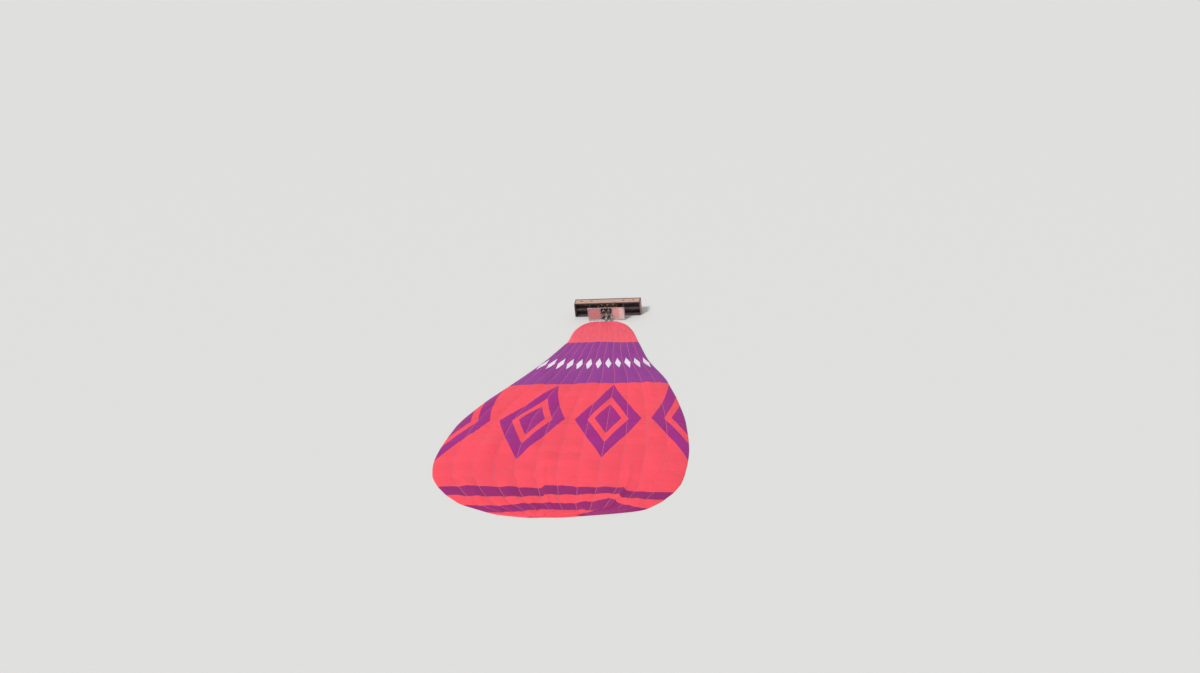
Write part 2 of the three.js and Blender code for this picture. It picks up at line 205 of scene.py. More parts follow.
def wound(path, radii, pitch, up=(0, 0, 1), closed=False, steps=12):
    """A line wound round a path, one turn for each pitch."""
    path, side, lift = path_frames(resampled(path, pitch / steps, closed), up, closed)
    turns = max(1, round(len(path) / steps))
    turn = np.linspace(0, math.tau * turns, len(path), endpoint=not closed)[:, None]
    return path + radii[0] * np.cos(turn) * side + radii[1] * np.sin(turn) * lift


def swept(path, section, up=(0, 0, 1), closed=False):
    """A section carried along a path. Its first axis points to the side, its second up."""
    path, side, lift = path_frames(path, up, closed)
    section = np.asarray(section, float)
    if section.ndim == 2:
        section = np.broadcast_to(section, (len(path), *section.shape))
    points = path[:, None] + section[..., :1] * side[:, None] + section[..., 1:] * lift[:, None]
    sides = section.shape[1]
    faces = [tuple(f) for f in grid_faces(len(path), sides, closed=True)]
    last = (len(path) - 1) * sides
    if closed:
        faces += [(last + k, k, (k + 1) % sides, last + (k + 1) % sides) for k in range(sides)]
    else:
        faces += [tuple(range(sides)), tuple(last + k for k in reversed(range(sides)))]
    return points.reshape(-1, 3), faces


# %% Turned shapes and blocks
def turned(profile, start, axis, sides=32):
    """A profile of (radius, distance) turned round an axis. Radius 0 closes an end."""
    axis = Vector(axis).normalized()
    turn = axis.to_track_quat("Z", "Y").to_matrix()
    points, faces, rows = [], [], []
    for radius, distance in profile:
        count = sides if radius > 0 else 1
        rows.append(range(len(points), len(points) + count))
        for k in range(count):
            a = 2 * math.pi * k / sides
            local = Vector((radius * math.cos(a), radius * math.sin(a), distance))
            points.append(Vector(start) + turn @ local)
    for a, b in zip(rows, rows[1:]):
        for k in range(sides):
            n = (k + 1) % sides
            if len(a) == 1:
                faces.append((a[0], b[n], b[k]))
            elif len(b) == 1:
                faces.append((a[k], a[n], b[0]))
            else:
                faces.append((a[k], a[n], b[n], b[k]))
    return np.array([tuple(p) for p in points]), faces


def block(low, high, border=0.008):
    """A box from its lowest corner to its highest. Two lines near each edge keep worn edges
    narrow, as long as the bevel is narrower than the border."""
    lines = []
    for a, b in zip(low, high):
        margin = min(border, 0.2 * (b - a))
        lines.append((a, a + margin, a + 2 * margin, b - 2 * margin, b - margin, b))
    numbers, points, faces = {}, [], []

    def number(place):
        if place not in numbers:
            numbers[place] = len(points)
            points.append([lines[k][place[k]] for k in range(3)])
        return numbers[place]

    for axis in range(3):
        u, v = (axis + 1) % 3, (axis + 2) % 3
        for end, a, b in itertools.product((0, 5), range(5), range(5)):
            corners = []
            for da, db in ((0, 0), (1, 0), (1, 1), (0, 1)):
                place = [0, 0, 0]
                place[axis], place[u], place[v] = end, a + da, b + db
                corners.append(number(tuple(place)))
            faces.append(corners if end else corners[::-1])
    return np.array(points), faces


print("a block has", len(block((0, 0, 0), (1, 1, 1))[0]), "points")


# %% From shapes to a piece
def joined(shapes):
    """Several shapes as one list of points and faces."""
    points, faces, count = [], [], 0
    for shape_points, shape_faces in shapes:
        points.append(np.asarray(shape_points, float))
        faces += [tuple(int(i) + count for i in face) for face in shape_faces]
        count += len(shape_points)
    return np.vstack(points), faces


def piece(name, shapes, material, slot, body="root", crisp=None, replaces=()):
    """One object from one or more shapes. It rides a body and may stand for CAD nodes.
    Edges sharper than crisp, in degrees, stay sharp."""
    points, faces = joined(shapes)
    mesh = bpy.data.meshes.new(name)
    mesh.from_pydata(points.tolist(), [], faces)
    mesh.materials.append(material)
    mesh.polygons.foreach_set("use_smooth", [True] * len(mesh.polygons))
    if crisp:
        mesh.set_sharp_from_angle(angle=math.radians(crisp))
    obj = bpy.data.objects.new(name, mesh)
    bpy.context.collection.objects.link(obj)
    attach(obj, body)
    if replaces:
        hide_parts(*replaces)
    print(f"{name}: {len(faces)} faces")
    return obj


def soften(obj, width, segments=2):
    """Rounds the sharp edges, as a maker breaks them."""
    bevel = obj.modifiers.new("soft edges", "BEVEL")
    bevel.width = width
    bevel.segments = segments
    bevel.limit_method = "ANGLE"
    bevel.angle_limit = math.radians(35)
    bevel.harden_normals = True


# %% [markdown]
# ### Letting cloth settle
#
# Blender's cloth solver finds how held cloth sags, from the points that are held, its
# stiffness and its weight. It is worth its time on pieces of a few thousand points, where the
# sag is seen. A helper mesh goes through the solver and is then thrown away; only its points
# are kept. A limit on how far a point may move keeps the cloth clear of its neighbours.

# %% Settle cloth
SETTLING_FRAMES = 24
SOLVER_STEPS = 8      # in each frame
POINT_MASS = 0.3


def settled(jobs):
    """Settles several meshes at once and returns their new points. Each job gives points, faces,
    the points that are held, how much larger than its frame the cloth was cut (slack), its
    bending stiffness, pressure, gravity, and the most that a point may move."""
    helpers, results = [], []
    for job in jobs:
        mesh = bpy.data.meshes.new("settling")
        mesh.from_pydata(job["points"].tolist(), [], [tuple(face) for face in job["faces"]])
        helper = bpy.data.objects.new("settling", mesh)
        bpy.context.collection.objects.link(helper)
        helper.vertex_groups.new(name="held").add([int(i) for i in job["held"]], 1.0, "REPLACE")
        settings = helper.modifiers.new("cloth", "CLOTH").settings
        settings.vertex_group_mass = "held"
        settings.quality = SOLVER_STEPS
        settings.mass = POINT_MASS
        settings.bending_stiffness = job["bending"]
        settings.shrink_min = -job["slack"]
        settings.effector_weights.gravity = job["gravity"]
        settings.use_pressure = job["pressure"] > 0
        settings.uniform_pressure_force = job["pressure"]
        helpers.append(helper)
    for number in range(1, SETTLING_FRAMES + 1):
        bpy.context.scene.frame_set(number)
    graph = bpy.context.evaluated_depsgraph_get()
    for job, helper in zip(jobs, helpers):
        mesh = helper.evaluated_get(graph).to_mesh()
        after = np.empty(len(mesh.vertices) * 3)
        mesh.vertices.foreach_get("co", after)
        move = after.reshape(-1, 3) - job["points"]
        far = np.linalg.norm(move, axis=1, keepdims=True)
        results.append(job["points"] + move * np.minimum(1, job["most"] / np.maximum(far, 1e-9)))
        print(f"settled {len(move)} points, which moved {1000 * far.mean():.1f} mm on average")
    for helper in helpers:
        bpy.data.objects.remove(helper)
    bpy.context.scene.frame_set(1)
    return results


# %% [markdown]
# ## Shader effects
#
# Weave, creases, dust and the like turn up in several finishes. Each is a node group with
# named inputs and outputs, built once. A group gives out only masks, heights and colours; the
# shader itself stays in each material, where its constant values are easy to find.

# %% Colours
def paint(red, green, blue):
    """A colour given as screen values from 0 to 255."""
    def to_linear(value):
        value /= 255
        return value / 12.92 if value <= 0.04045 else ((value + 0.055) / 1.055) ** 2.4
    return (to_linear(red), to_linear(green), to_linear(blue), 1.0)


print("a screen value of 128 is", round(paint(128, 128, 128)[0], 3), "in linear light")


# %% Nodes and their inputs
def fill(tree, node, inputs):
    """Links or sets inputs of a node, found by name or number."""
    for key, value in inputs.items():
        if isinstance(value, bpy.types.NodeSocket):
            tree.links.new(value, node.inputs[key])
        else:
            node.inputs[key].default_value = value
    return node


def add_node(tree, kind, inputs=None, **settings):
    """Adds a shader node, sets its options, and fills its inputs."""
    node = tree.nodes.new("ShaderNode" + kind)
    for key, value in settings.items():
        setattr(node, key, value)
    return fill(tree, node, inputs or {})


# %% Helpers for single nodes
def maths(tree, operation, *values):
    """One Math node's result."""
    return add_node(tree, "Math", dict(enumerate(values)), operation=operation).outputs[0]


def times(tree, *values):
    """Two values multiplied."""
    return maths(tree, "MULTIPLY", *values)


def noise(tree, vector, scale, detail, distortion=0.0):
    """A Noise Texture's value."""
    inputs = {"Vector": vector, "Scale": scale, "Detail": detail, "Distortion": distortion}
    return add_node(tree, "TexNoise", inputs).outputs["Fac"]


def axes(tree, vector):
    """A vector's X, Y and Z."""
    return add_node(tree, "SeparateXYZ", {"Vector": vector}).outputs


def uv(tree, name):
    """The coordinates of a UV map."""
    return add_node(tree, "UVMap", uv_map=name).outputs[0]


def ramp(tree, value, low, high, out_low=0.0, out_high=1.0):
    """A value stretched smoothly from one range to another."""
    inputs = {"Value": value, "From Min": low, "From Max": high, "To Min": out_low, "To Max": out_high}
    return add_node(tree, "MapRange", inputs, interpolation_type="SMOOTHSTEP").outputs["Result"]


def mix(tree, share, a, b):
    """Two colours mixed."""
    return add_node(tree, "Mix", {0: share, 6: a, 7: b}, data_type="RGBA").outputs[2]


# %% Helpers for effects
def effect(name, inputs, outputs):
    """An empty node group. Inputs are labels with their values, None for a vector's; outputs are
    labels of values. Returns the group and its inner ends."""
    group = bpy.data.node_groups.new(name, "ShaderNodeTree")
    for label, value in inputs.items():
        kind = "NodeSocketFloat" if isinstance(value, float) else "NodeSocketVector"
        socket = group.interface.new_socket(name=label, in_out="INPUT", socket_type=kind)
        if value is not None:
            socket.default_value = value
    for label in outputs:
        group.interface.new_socket(name=label, in_out="OUTPUT", socket_type="NodeSocketFloat")
    print("effect:", name)
    return group, group.nodes.new("NodeGroupInput").outputs, group.nodes.new("NodeGroupOutput").inputs


def use(tree, group, **inputs):
    """Places an effect in a material. Underscores in the names stand for spaces."""
    node = tree.nodes.new("ShaderNodeGroup")
    node.node_tree = group
    return fill(tree, node, {key.replace("_", " "): value for key, value in inputs.items()}).outputs


def bumped(tree, height, distance, normal=None, strength=1.0):
    """A Bump node's normal."""
    inputs = {"Height": height, "Distance": distance, "Strength": strength}
    if normal is not None:
        inputs["Normal"] = normal
    return add_node(tree, "Bump", inputs).outputs["Normal"]


# %% [markdown]
# ### Cloth effects
#
# Balloon cloth is a thin woven nylon with a heavier thread every few millimetres, which stops
# tears. It could be photographed; here two crossed waves make the weave, and a third makes
# the heavier grid. Sewn envelopes are patchworks: every panel is cut from its own length of
# cloth, so each gets a slightly different tint, and the panels meet in folded seams.

# %% Woven threads
def weave_effect():
    """Plain weave with a heavier thread at every tenth. Vector is in metres."""
    group, given, out = effect("Woven threads", {"Vector": None, "Thread": 0.0005}, ["Height", "Grid"])
    split = axes(group, given["Vector"])
    turns = maths(group, "DIVIDE", math.tau, given["Thread"])
    waves = [maths(group, "SINE", times(group, split[axis], turns)) for axis in "XY"]
    coarse = maths(group, "DIVIDE", turns, 10.0)
    ribs = [maths(group, "COSINE", times(group, split[axis], coarse)) for axis in "XY"]
    grid = ramp(group, maths(group, "MAXIMUM", *ribs), 0.86, 0.99)
    group.links.new(maths(group, "ADD", times(group, *waves), grid), out["Height"])
    group.links.new(grid, out["Grid"])
    return group


WEAVE = weave_effect()


# %% Creases
def crease_effect():
    """Straight little creases at all angles, as cloth keeps from its bag."""
    group, given, out = effect("Creases", {"Vector": None, "Scale": 2.0}, ["Height"])
    bend = add_node(group, "TexNoise", {"Vector": given["Vector"], "Scale": 1.3, "Detail": 2.0})
    shove = add_node(group, "VectorMath", {0: bend.outputs["Color"], 1: (0.3, 0.3, 0)}, operation="MULTIPLY")
    moved = add_node(group, "VectorMath", {0: given["Vector"], 1: shove.outputs[0]}, operation="ADD")
    settings = {"Vector": moved.outputs[0], "Scale": given["Scale"]}
    facets = add_node(group, "TexVoronoi", settings, feature="DISTANCE_TO_EDGE")
    small = add_node(
        group, "TexVoronoi",
        {"Vector": moved.outputs[0], "Scale": times(group, given["Scale"], 3.3)},
        feature="DISTANCE_TO_EDGE",
    )
    ridge = ramp(group, facets.outputs["Distance"], 0.0, 0.3, 1.0, 0.0)
    fine = ramp(group, small.outputs["Distance"], 0.0, 0.3, 0.3, 0.0)
    group.links.new(maths(group, "ADD", ridge, fine), out["Height"])
    return group


CREASES = crease_effect()


# %% Sewn panels
def panel_effect():
    """Seams and the tint of each panel, from the gore's number and the distance along it."""
    inputs = {"Pattern": None, "Panel": 1.25, "Seam": 0.03}
    group, given, out = effect("Sewn panels", inputs, ["Seams", "Tint"])
    split = axes(group, given["Pattern"])
    row = maths(group, "DIVIDE", split["Y"], given["Panel"])
    apart = maths(group, "PINGPONG", row, 0.5)
    reach = maths(group, "DIVIDE", times(group, given["Seam"], 0.5), given["Panel"])
    seam = ramp(group, maths(group, "DIVIDE", apart, reach), 0.8, 1.2, 1.0, 0.0)
    place = add_node(
        group, "CombineXYZ",
        {"X": maths(group, "FLOOR", split["X"]), "Y": maths(group, "FLOOR", row)},
    )
    tint = add_node(group, "TexWhiteNoise", {"Vector": place.outputs[0]}, noise_dimensions="2D")
    group.links.new(seam, out["Seams"])
    group.links.new(tint.outputs["Value"], out["Tint"])
    return group


PANELS = panel_effect()


# %% Dust and fading
def dust_effect():
    """Soft patches of dust or fading."""
    inputs = {"Vector": None, "Scale": 0.4, "Cover": 0.5}
    group, given, out = effect("Dust and fading", inputs, ["Mask"])
    broad = noise(group, given["Vector"], given["Scale"], 6.0)
    fine = noise(group, given["Vector"], times(group, given["Scale"], 40.0), 3.0)
    both = maths(group, "MULTIPLY_ADD", fine, 0.12, broad)
    low = maths(group, "SUBTRACT", 0.95, given["Cover"])
    mask = ramp(group, both, low, maths(group, "ADD", low, 0.4))
    group.links.new(mask, out["Mask"])
    return group


DUST = dust_effect()


# %% Rows of lozenges
def lozenge_effect():
    """A row of lozenges. Each has a core and, outside a clear ring, a border."""
    inputs = {
        "Pattern": None, "Spacing": 4.0, "First": 0.0, "Middle": 21.5,
        "Half width": 1.8, "Half length": 6.5, "Core": 0.4, "Ring": 0.62,
    }
    group, given, out = effect("Lozenge row", inputs, ["Mask"])
    split = axes(group, given["Pattern"])
    from_first = maths(group, "SUBTRACT", split["X"], given["First"])
    half = times(group, given["Spacing"], 0.5)
    apart = maths(group, "PINGPONG", from_first, half)
    across = maths(group, "DIVIDE", apart, given["Half width"])
    beyond = maths(group, "ABSOLUTE", maths(group, "SUBTRACT", split["Y"], given["Middle"]))
    out_by = maths(group, "ADD", across, maths(group, "DIVIDE", beyond, given["Half length"]))
    core = maths(group, "LESS_THAN", out_by, given["Core"])
    past_ring = maths(group, "GREATER_THAN", out_by, given["Ring"])
    border = times(group, past_ring, maths(group, "LESS_THAN", out_by, 1.0))
    group.links.new(maths(group, "MAXIMUM", core, border), out["Mask"])
    return group


LOZENGES = lozenge_effect()

# %% [markdown]
# ## Envelope cloth
#
# ### Its finish
#
# The cloth is smooth and only a little shiny. Its coating gives a faint sheen when seen at a
# low angle. One function makes all its colours, so that coral, purple and the sewn-in
# lozenges share one weave and one set of creases. The lozenges follow the gores, because the
# pattern is drawn in the cloth's own coordinates: gore number across, metres along.

# %% Cloth materials
CORAL = paint(255, 78, 96)
FLAMEPROOF_CORAL = paint(250, 94, 110)   # the mouth's aramid cloth takes the dye less well
PURPLE_BAND = paint(150, 56, 148)
LOZENGE_PURPLE = paint(164, 32, 132)
STRIPE_PURPLE = paint(154, 32, 110)
WHITE = paint(238, 230, 240)
PALE_DUST = paint(196, 150, 120)
SEAM_DARK = (0.25, 0.05, 0.1, 1)


def cloth_material(name, colour, patterns=()):
    """Coated nylon. Each pattern is (colour, lozenge row's values)."""
    print("material:", name)
    material = bpy.data.materials.new(name)
    material.use_nodes = True
    tree = material.node_tree
    metres = uv(tree, "metres")
    pattern = uv(tree, "pattern")
    result = mix(tree, 0.0, colour, colour)
    for patch, row in patterns:
        result = mix(tree, use(tree, LOZENGES, Pattern=pattern, **row)["Mask"], result, patch)
    panels = use(tree, PANELS, Pattern=pattern)
    shade = ramp(tree, panels["Tint"], 0.0, 1.0, 0.96, 1.03)
    bright = add_node(tree, "HueSaturation", {"Color": result, "Value": shade}).outputs[0]
    seamed = mix(tree, times(tree, panels["Seams"], 0.2), bright, SEAM_DARK)
    dust = use(tree, DUST, Vector=metres, Scale=0.16, Cover=0.4)["Mask"]
    weave = use(tree, WEAVE, Vector=metres)
    creases = use(tree, CREASES, Vector=metres, Scale=1.4)
    normal = bumped(tree, creases["Height"], 0.008)
    normal = bumped(tree, panels["Seams"], 0.004, normal)
    fill(tree, tree.nodes["Principled BSDF"], {
        "Base Color": mix(tree, times(tree, dust, 0.05), seamed, PALE_DUST),
        "Normal": bumped(tree, weave["Height"], 0.0002, normal, 0.5),
        "Roughness": ramp(tree, weave["Grid"], 0.0, 1.0, 0.52, 0.62),
        "Specular IOR Level": 0.3,
        "Sheen Weight": 0.06,
        "Sheen Roughness": 0.4,
    })
    return material


BIG_LOZENGES = dict(Spacing=4.0, First=0.0, Middle=21.7, Half_width=1.75, Half_length=6.6)
SMALL_LOZENGES = dict(
    Spacing=1.0, First=0.5, Middle=10.8, Half_width=0.32, Half_length=1.1, Core=1.0, Ring=2.0,
)
coral_plain = cloth_material("coral_cloth", CORAL)
flameproof_coral = cloth_material("flameproof_coral_cloth", FLAMEPROOF_CORAL)
coral_patterned = cloth_material("coral_cloth_with_lozenges", CORAL, [(LOZENGE_PURPLE, BIG_LOZENGES)])
purple_band = cloth_material("purple_band_cloth", PURPLE_BAND, [(WHITE, SMALL_LOZENGES)])
purple_plain = cloth_material("purple_cloth", PURPLE_BAND)
purple_stripe = cloth_material("purple_stripe_cloth", STRIPE_PURPLE)

# %% [markdown]
# ### Its shape
#
# The envelope is a tube of twelve visible gores that lies nearly flat, with some air left in
# it. The cloth solver would need millions of faces for 36 m of nylon. Here the shape is
# written down instead, as a sum of things that real cloth does: an arch from edge to edge,
# a puff in every gore and panel, broad billows, creases, and gathers at the mouth. Its
# outline and its height come from the frame, read row by row and smoothed.

# %% Read the outline from the frame
GORES = 12
rim_low, rim_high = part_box("basket_rim")
MIDDLE_X = (rim_low.x + rim_high.x) / 2
RIM_Y = rim_low.y
UPPER = [
    "upper_mouth", "upper_purple_band", "upper_body_front", "upper_body_rear",
    "upper_crown_stripe_wide", "upper_crown_panel", "upper_crown_stripe_narrow", "upper_crown_edge",
]


def frame_rows(nodes):
    """Rows of (distance from the rim, left, right, top) read from the nodes' points."""
    rows = {}
    for name in nodes:
        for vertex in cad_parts[name].data.vertices:
            rows.setdefault(round(RIM_Y - vertex.co.y, 2), []).append(vertex.co)
    return np.array([
        (t, MIDDLE_X - min(p.x for p in row), max(p.x for p in row) - MIDDLE_X, max(p.z for p in row))
        for t, row in sorted(rows.items())
    ])


def smooth_through(places, values):
    """A smooth curve through points that never overshoots them."""
    step = np.diff(places)
    rise = np.diff(values) / step
    both = rise[:-1] + rise[1:]
    slope = np.concatenate([rise[:1], np.zeros(len(places) - 2), rise[-1:]])
    same_way = rise[:-1] * rise[1:] > 0
    slope[1:-1][same_way] = (2 * rise[:-1] * rise[1:])[same_way] / both[same_way]

    def at(place):
        place = np.clip(place, places[0], places[-1])
        i = np.clip(np.searchsorted(places, place) - 1, 0, len(step) - 1)
        s = (place - places[i]) / step[i]
        return (
            values[i] * (1 + 2 * s) * (1 - s) ** 2 + slope[i] * step[i] * s * (1 - s) ** 2
            + values[i + 1] * s * s * (3 - 2 * s) + slope[i + 1] * step[i] * s * s * (s - 1)
        )
    return at


rows = frame_rows(UPPER)
EDGE_TOP = rows[-1, 3]   # the crown's last row has no rise
MOUTH_T, CROWN_T = rows[0, 0], rows[-1, 0]
CORNER_EASE = 0.22


def eased(curve):
    """The same curve with its corners rounded, less so near both of its ends."""
    def at(place):
        room = np.minimum(CORNER_EASE, np.minimum(place - MOUTH_T, CROWN_T - place))
        return np.mean([curve(place + share * room) for share in np.linspace(-1, 1, 9)], axis=0)
    return at


left_at = eased(smooth_through(rows[:, 0], rows[:, 1]))
right_at = eased(smooth_through(rows[:, 0], rows[:, 2]))
rise_at = smooth_through(rows[:, 0], rows[:, 3] - EDGE_TOP)
ends = [RIM_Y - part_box(node)[0].y for node in UPPER]   # each band's far seam
BAND_T_SEAMS, CROWN_T_SEAMS = ends[0:2], ends[3:7]
BODY_T = 26.0   # here the body lies as it was cut
print(f"outline: {len(rows)} rows, from {MOUTH_T:.2f} to {CROWN_T:.2f} m from the rim")

# %% The shape of the upper cloth
CELLS = 12          # across one gore
PANEL = 1.25        # metres between seams
ROW_STEP = PANEL / 10
FINE_STEP = PANEL / 20   # near the mouth
UPPER_BASE = 0.014  # height of the cloth's edge
PLEATS = [(5.33, 0.07), (9.43, 0.12)]   # gore coordinate, height of the fold
PLEAT_WIDTH = 0.11  # in gores
PUFF = 0.055        # height of a gore's puff, as a share of its width
PANEL_PUFF = 0.012
BILLOWS = [(0.045, 6.5, 11), (0.022, 2.6, 12)]   # height, length, seed
CREASE_RISE, SMALL_CREASE_RISE = 0.011, 0.005
GATHER, GATHERS_END = 0.05, 6.2   # at the mouth
WAVES = 26          # summed in each set of ripples
CALM_END = 5.0      # the mouth has no billows or creases of its own up to here

# Where the crown's seams really lie, because the cloth is drawn up unevenly between the pleats.
# Gore coordinate, then distances from the rim: wide stripe's two edges, narrow stripe's two edges
CROWN_SEAMS = np.array([
    (0.0, 32.20, 33.50, 35.00, 36.10),
    (1.0, 32.44, 33.85, 35.22, 36.20),
    (2.0, 32.60, 33.98, 35.26, 36.20),
    (3.0, 32.72, 34.07, 35.22, 36.13),
    (4.0, 32.81, 34.12, 35.13, 36.00),
    (5.2, 32.85, 34.02, 35.03, 35.92),
    (5.4, 32.50, 33.86, 35.02, 35.90),
    (6.2, 32.54, 33.87, 35.02, 35.89),
    (7.0, 32.86, 33.91, 35.03, 35.92),
    (8.2, 32.98, 33.95, 34.93, 36.02),
    (8.9, 32.95, 33.87, 34.52, 36.15),
    (9.3, 32.93, 33.95, 34.80, 36.35),
    (9.55, 33.42, 34.45, 35.10, 36.55),
    (10.3, 33.45, 34.50, 35.47, 36.65),
    (11.2, 33.43, 34.50, 35.67, 36.70),
    (12.0, 33.40, 34.45, 35.70, 36.75),
])
# At the purple band's front and rear: the middle's shift, and the bow to the sides
PURPLE_BOW = [(0.27, 0.42), (0.09, 0.22)]


def step_up(value, low, high):
    """A smooth step from 0 to 1."""
    s = np.clip((value - low) / (high - low), 0, 1)
    return s * s * (3 - 2 * s)


def ripples(x, y, length, seed):
    """Smooth seeded ripples of about one wavelength, mostly between -1 and 1."""
    rng = np.random.default_rng(seed)
    total = 0
    for _ in range(WAVES):
        turn, phase = rng.uniform(0, math.tau, 2)
        pitch = length * rng.uniform(0.7, 1.5)
        total = total + np.sin(math.tau * (x * math.cos(turn) + y * math.sin(turn)) / pitch + phase)
    return total / math.sqrt(WAVES / 2)


def dragged(gore, t):
    """Where the cloth at that gore and distance really lies."""
    u = gore / (GORES / 2) - 1
    shifts = [np.zeros_like(gore)]
    shifts += [middle - bow * u ** 2 for middle, bow in PURPLE_BOW]
    shifts.append(np.zeros_like(gore))
    for seam, column in zip(CROWN_T_SEAMS, CROWN_SEAMS.T[1:]):
        shifts.append(np.interp(gore, CROWN_SEAMS[:, 0], column) - seam)
    shifts.append(np.zeros_like(gore))
    places = np.array([MOUTH_T, *BAND_T_SEAMS, BODY_T, *CROWN_T_SEAMS, CROWN_T])
    i = np.clip(np.searchsorted(places, t) - 1, 0, len(places) - 2)
    share = step_up((t - places[i]) / (places[i + 1] - places[i]), 0, 1)
    shifts = np.stack(shifts)
    before, after = (np.take_along_axis(shifts, k[None], 0)[0] for k in (i, i + 1))
    return t + before + (after - before) * share


def upper_points(gore, t):
    """Points on the upper cloth."""
    lies = dragged(gore, t)
    left, right = left_at(lies), right_at(lies)
    share = gore / GORES
    x = MIDDLE_X - left + (left + right) * share
    y = RIM_Y - lies
    u = 2 * share - 1
    arch = np.clip(1 - u ** 4, 0, 1) ** 0.55
    width = (left + right) / GORES
    within = gore % 1
    puff = PUFF * width * np.sin(math.pi * within) ** 0.8
    puff = puff * (0.85 + 0.3 * ripples(np.floor(gore) * 7.3, lies, 9.0, 3))
    panel_puff = PANEL_PUFF * np.abs(np.sin(math.pi * t / PANEL)) ** 0.7
    billow = sum(height * ripples(x, y, length, seed) for height, length, seed in BILLOWS)
    warp = 0.5 * ripples(x, y, 3.0, 13)
    crease = 1 - 2 * np.abs(ripples(x + warp, y - warp, 1.3, 14))
    small = 1 - 2 * np.abs(ripples(x - warp, y + warp, 0.62, 15))
    slack = 0.5 + 1.1 * np.abs(u) ** 3 + 0.8 * step_up(t, 31, 35)
    gathers = (1 - step_up(t, MOUTH_T, GATHERS_END)) * GATHER * np.abs(
        np.sin(math.pi * gore * 2.5 + 1.5 * ripples(gore, t * 0.3, 2.2, 16))
    )
    calm = step_up(t, MOUTH_T, CALM_END)
    creases = slack * (CREASE_RISE * crease + SMALL_CREASE_RISE * small)
    z = rise_at(lies) * arch
    z = z + arch * (puff + panel_puff + gathers + calm * (billow + creases))
    for place, height in PLEATS:
        fold = np.exp(-((gore - place) / PLEAT_WIDTH) ** 2) * step_up(t, 27.5, 32.0)
        z = z + height * fold * arch
    return np.stack([x, y, UPPER_BASE + np.maximum(z, 0)], -1)


print("the middle, 20 m from the rim:", upper_points(np.array([6.0]), np.array([20.0])).round(2))


# %% Lines, coordinates and measures of a sheet
def gore_lines():
    """Gore coordinates of the columns, closer together at both edges where the arch is steep."""
    inner = np.arange(CELLS, (GORES - 1) * CELLS + 1) / CELLS
    edge = (np.arange(CELLS) / CELLS) ** 2
    return np.concatenate([edge, inner, GORES - edge[::-1]])


def band_lines(start, end, step):
    """Distances of the rows: both ends, and the seams' own rows between them."""
    inner = np.arange(math.ceil(start / step), math.floor(end / step) + 1) * step
    inner = inner[(inner > start + 0.02) & (inner < end - 0.02)]
    return np.concatenate([[start], inner, [end]])


def add_uv(obj, name, values):
    """A UV map from one pair of values for each point."""
    layer = obj.data.uv_layers.new(name=name)
    loops = np.empty(len(obj.data.loops), int)
    obj.data.loops.foreach_get("vertex_index", loops)
    layer.data.foreach_set("uv", np.asarray(values, float)[loops].ravel())


def line_lengths(lines):
    """Lengths of several lines of points."""
    return np.linalg.norm(np.diff(lines, axis=1), axis=-1).sum(axis=1)


# %% Build the upper cloth, band by band
CLOTH_THICK = 0.0015


def cloth_sheet(node, grid, gore, t, material):
    """A sheet from a grid of points, with its coordinates."""
    name = "cloth_" + node
    slot = "purple_cloth" if "purple" in material.name else "coral_cloth"
    obj = piece(name, [surface(grid)], material, slot, replaces=[node])
    add_uv(obj, "metres", np.stack([grid[..., 0], t], -1).reshape(-1, 2))
    add_uv(obj, "pattern", np.stack([gore, t], -1).reshape(-1, 2))
    solid = obj.modifiers.new("cloth thickness", "SOLIDIFY")
    solid.thickness = CLOTH_THICK
    solid.offset = -1
    length = round(float(line_lengths(grid.swapaxes(0, 1)).mean()), 2)


UPPER_FINISH = {
    "upper_mouth": flameproof_coral,
    "upper_purple_band": purple_band,
    "upper_body_front": coral_patterned,
    "upper_body_rear": coral_patterned,
    "upper_crown_stripe_wide": purple_stripe,
    "upper_crown_panel": coral_plain,
    "upper_crown_stripe_narrow": purple_stripe,
    "upper_crown_edge": coral_plain,
}


def build_upper_cloth():
    columns = gore_lines()
    for node, material in UPPER_FINISH.items():
        low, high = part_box(node)
        step = FINE_STEP if node == UPPER[0] else ROW_STEP
        t, gore = np.meshgrid(band_lines(RIM_Y - high.y, RIM_Y - low.y, step), columns, indexing="ij")
        cloth_sheet(node, upper_points(gore, t), gore, t, material)


build_upper_cloth()

# %% [markdown]
# ### The side on the ground
#
# The lower cloth is only seen at its rim and from below. It keeps the same outline and a few
# shallow ripples, on a much coarser grid.

# %% Build the lower cloth
LOWER_STEP = 0.3
LOWER_BASE = 0.005
LOWER_CELLS = 5     # across one gore
LOWER_FINISH = {
    "lower_mouth": flameproof_coral,
    "lower_purple_band": purple_plain,
    "lower_body_front": coral_plain,
    "lower_body_rear": coral_plain,
    "lower_crown": coral_plain,
}


def build_lower_cloth():
    columns = np.arange(GORES * LOWER_CELLS + 1) / LOWER_CELLS
    for node, material in LOWER_FINISH.items():
        low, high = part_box(node)
        lines = band_lines(RIM_Y - high.y, RIM_Y - low.y, LOWER_STEP)
        t, gore = np.meshgrid(lines, columns, indexing="ij")
        left, right = left_at(t), right_at(t)
        x = MIDDLE_X - left + (left + right) * gore / GORES
        y = RIM_Y - t
        z = LOWER_BASE + 0.002 * ripples(x, y, 1.8, 21)
        cloth_sheet(node, np.stack([x, y, z], -1), gore, t, material)


build_lower_cloth()

# %% [markdown]
# ## More finishes
#
# The basket, the frame and the burners need cane, suede, webbing, heavy cloth, wood and metal.
# Each effect below is again a group that gives masks and heights.

# %% Woven cane
STAKE = 0.06      # distance between the basket's upright stakes
WEAVER = 0.015    # height of one woven row, a pair of canes


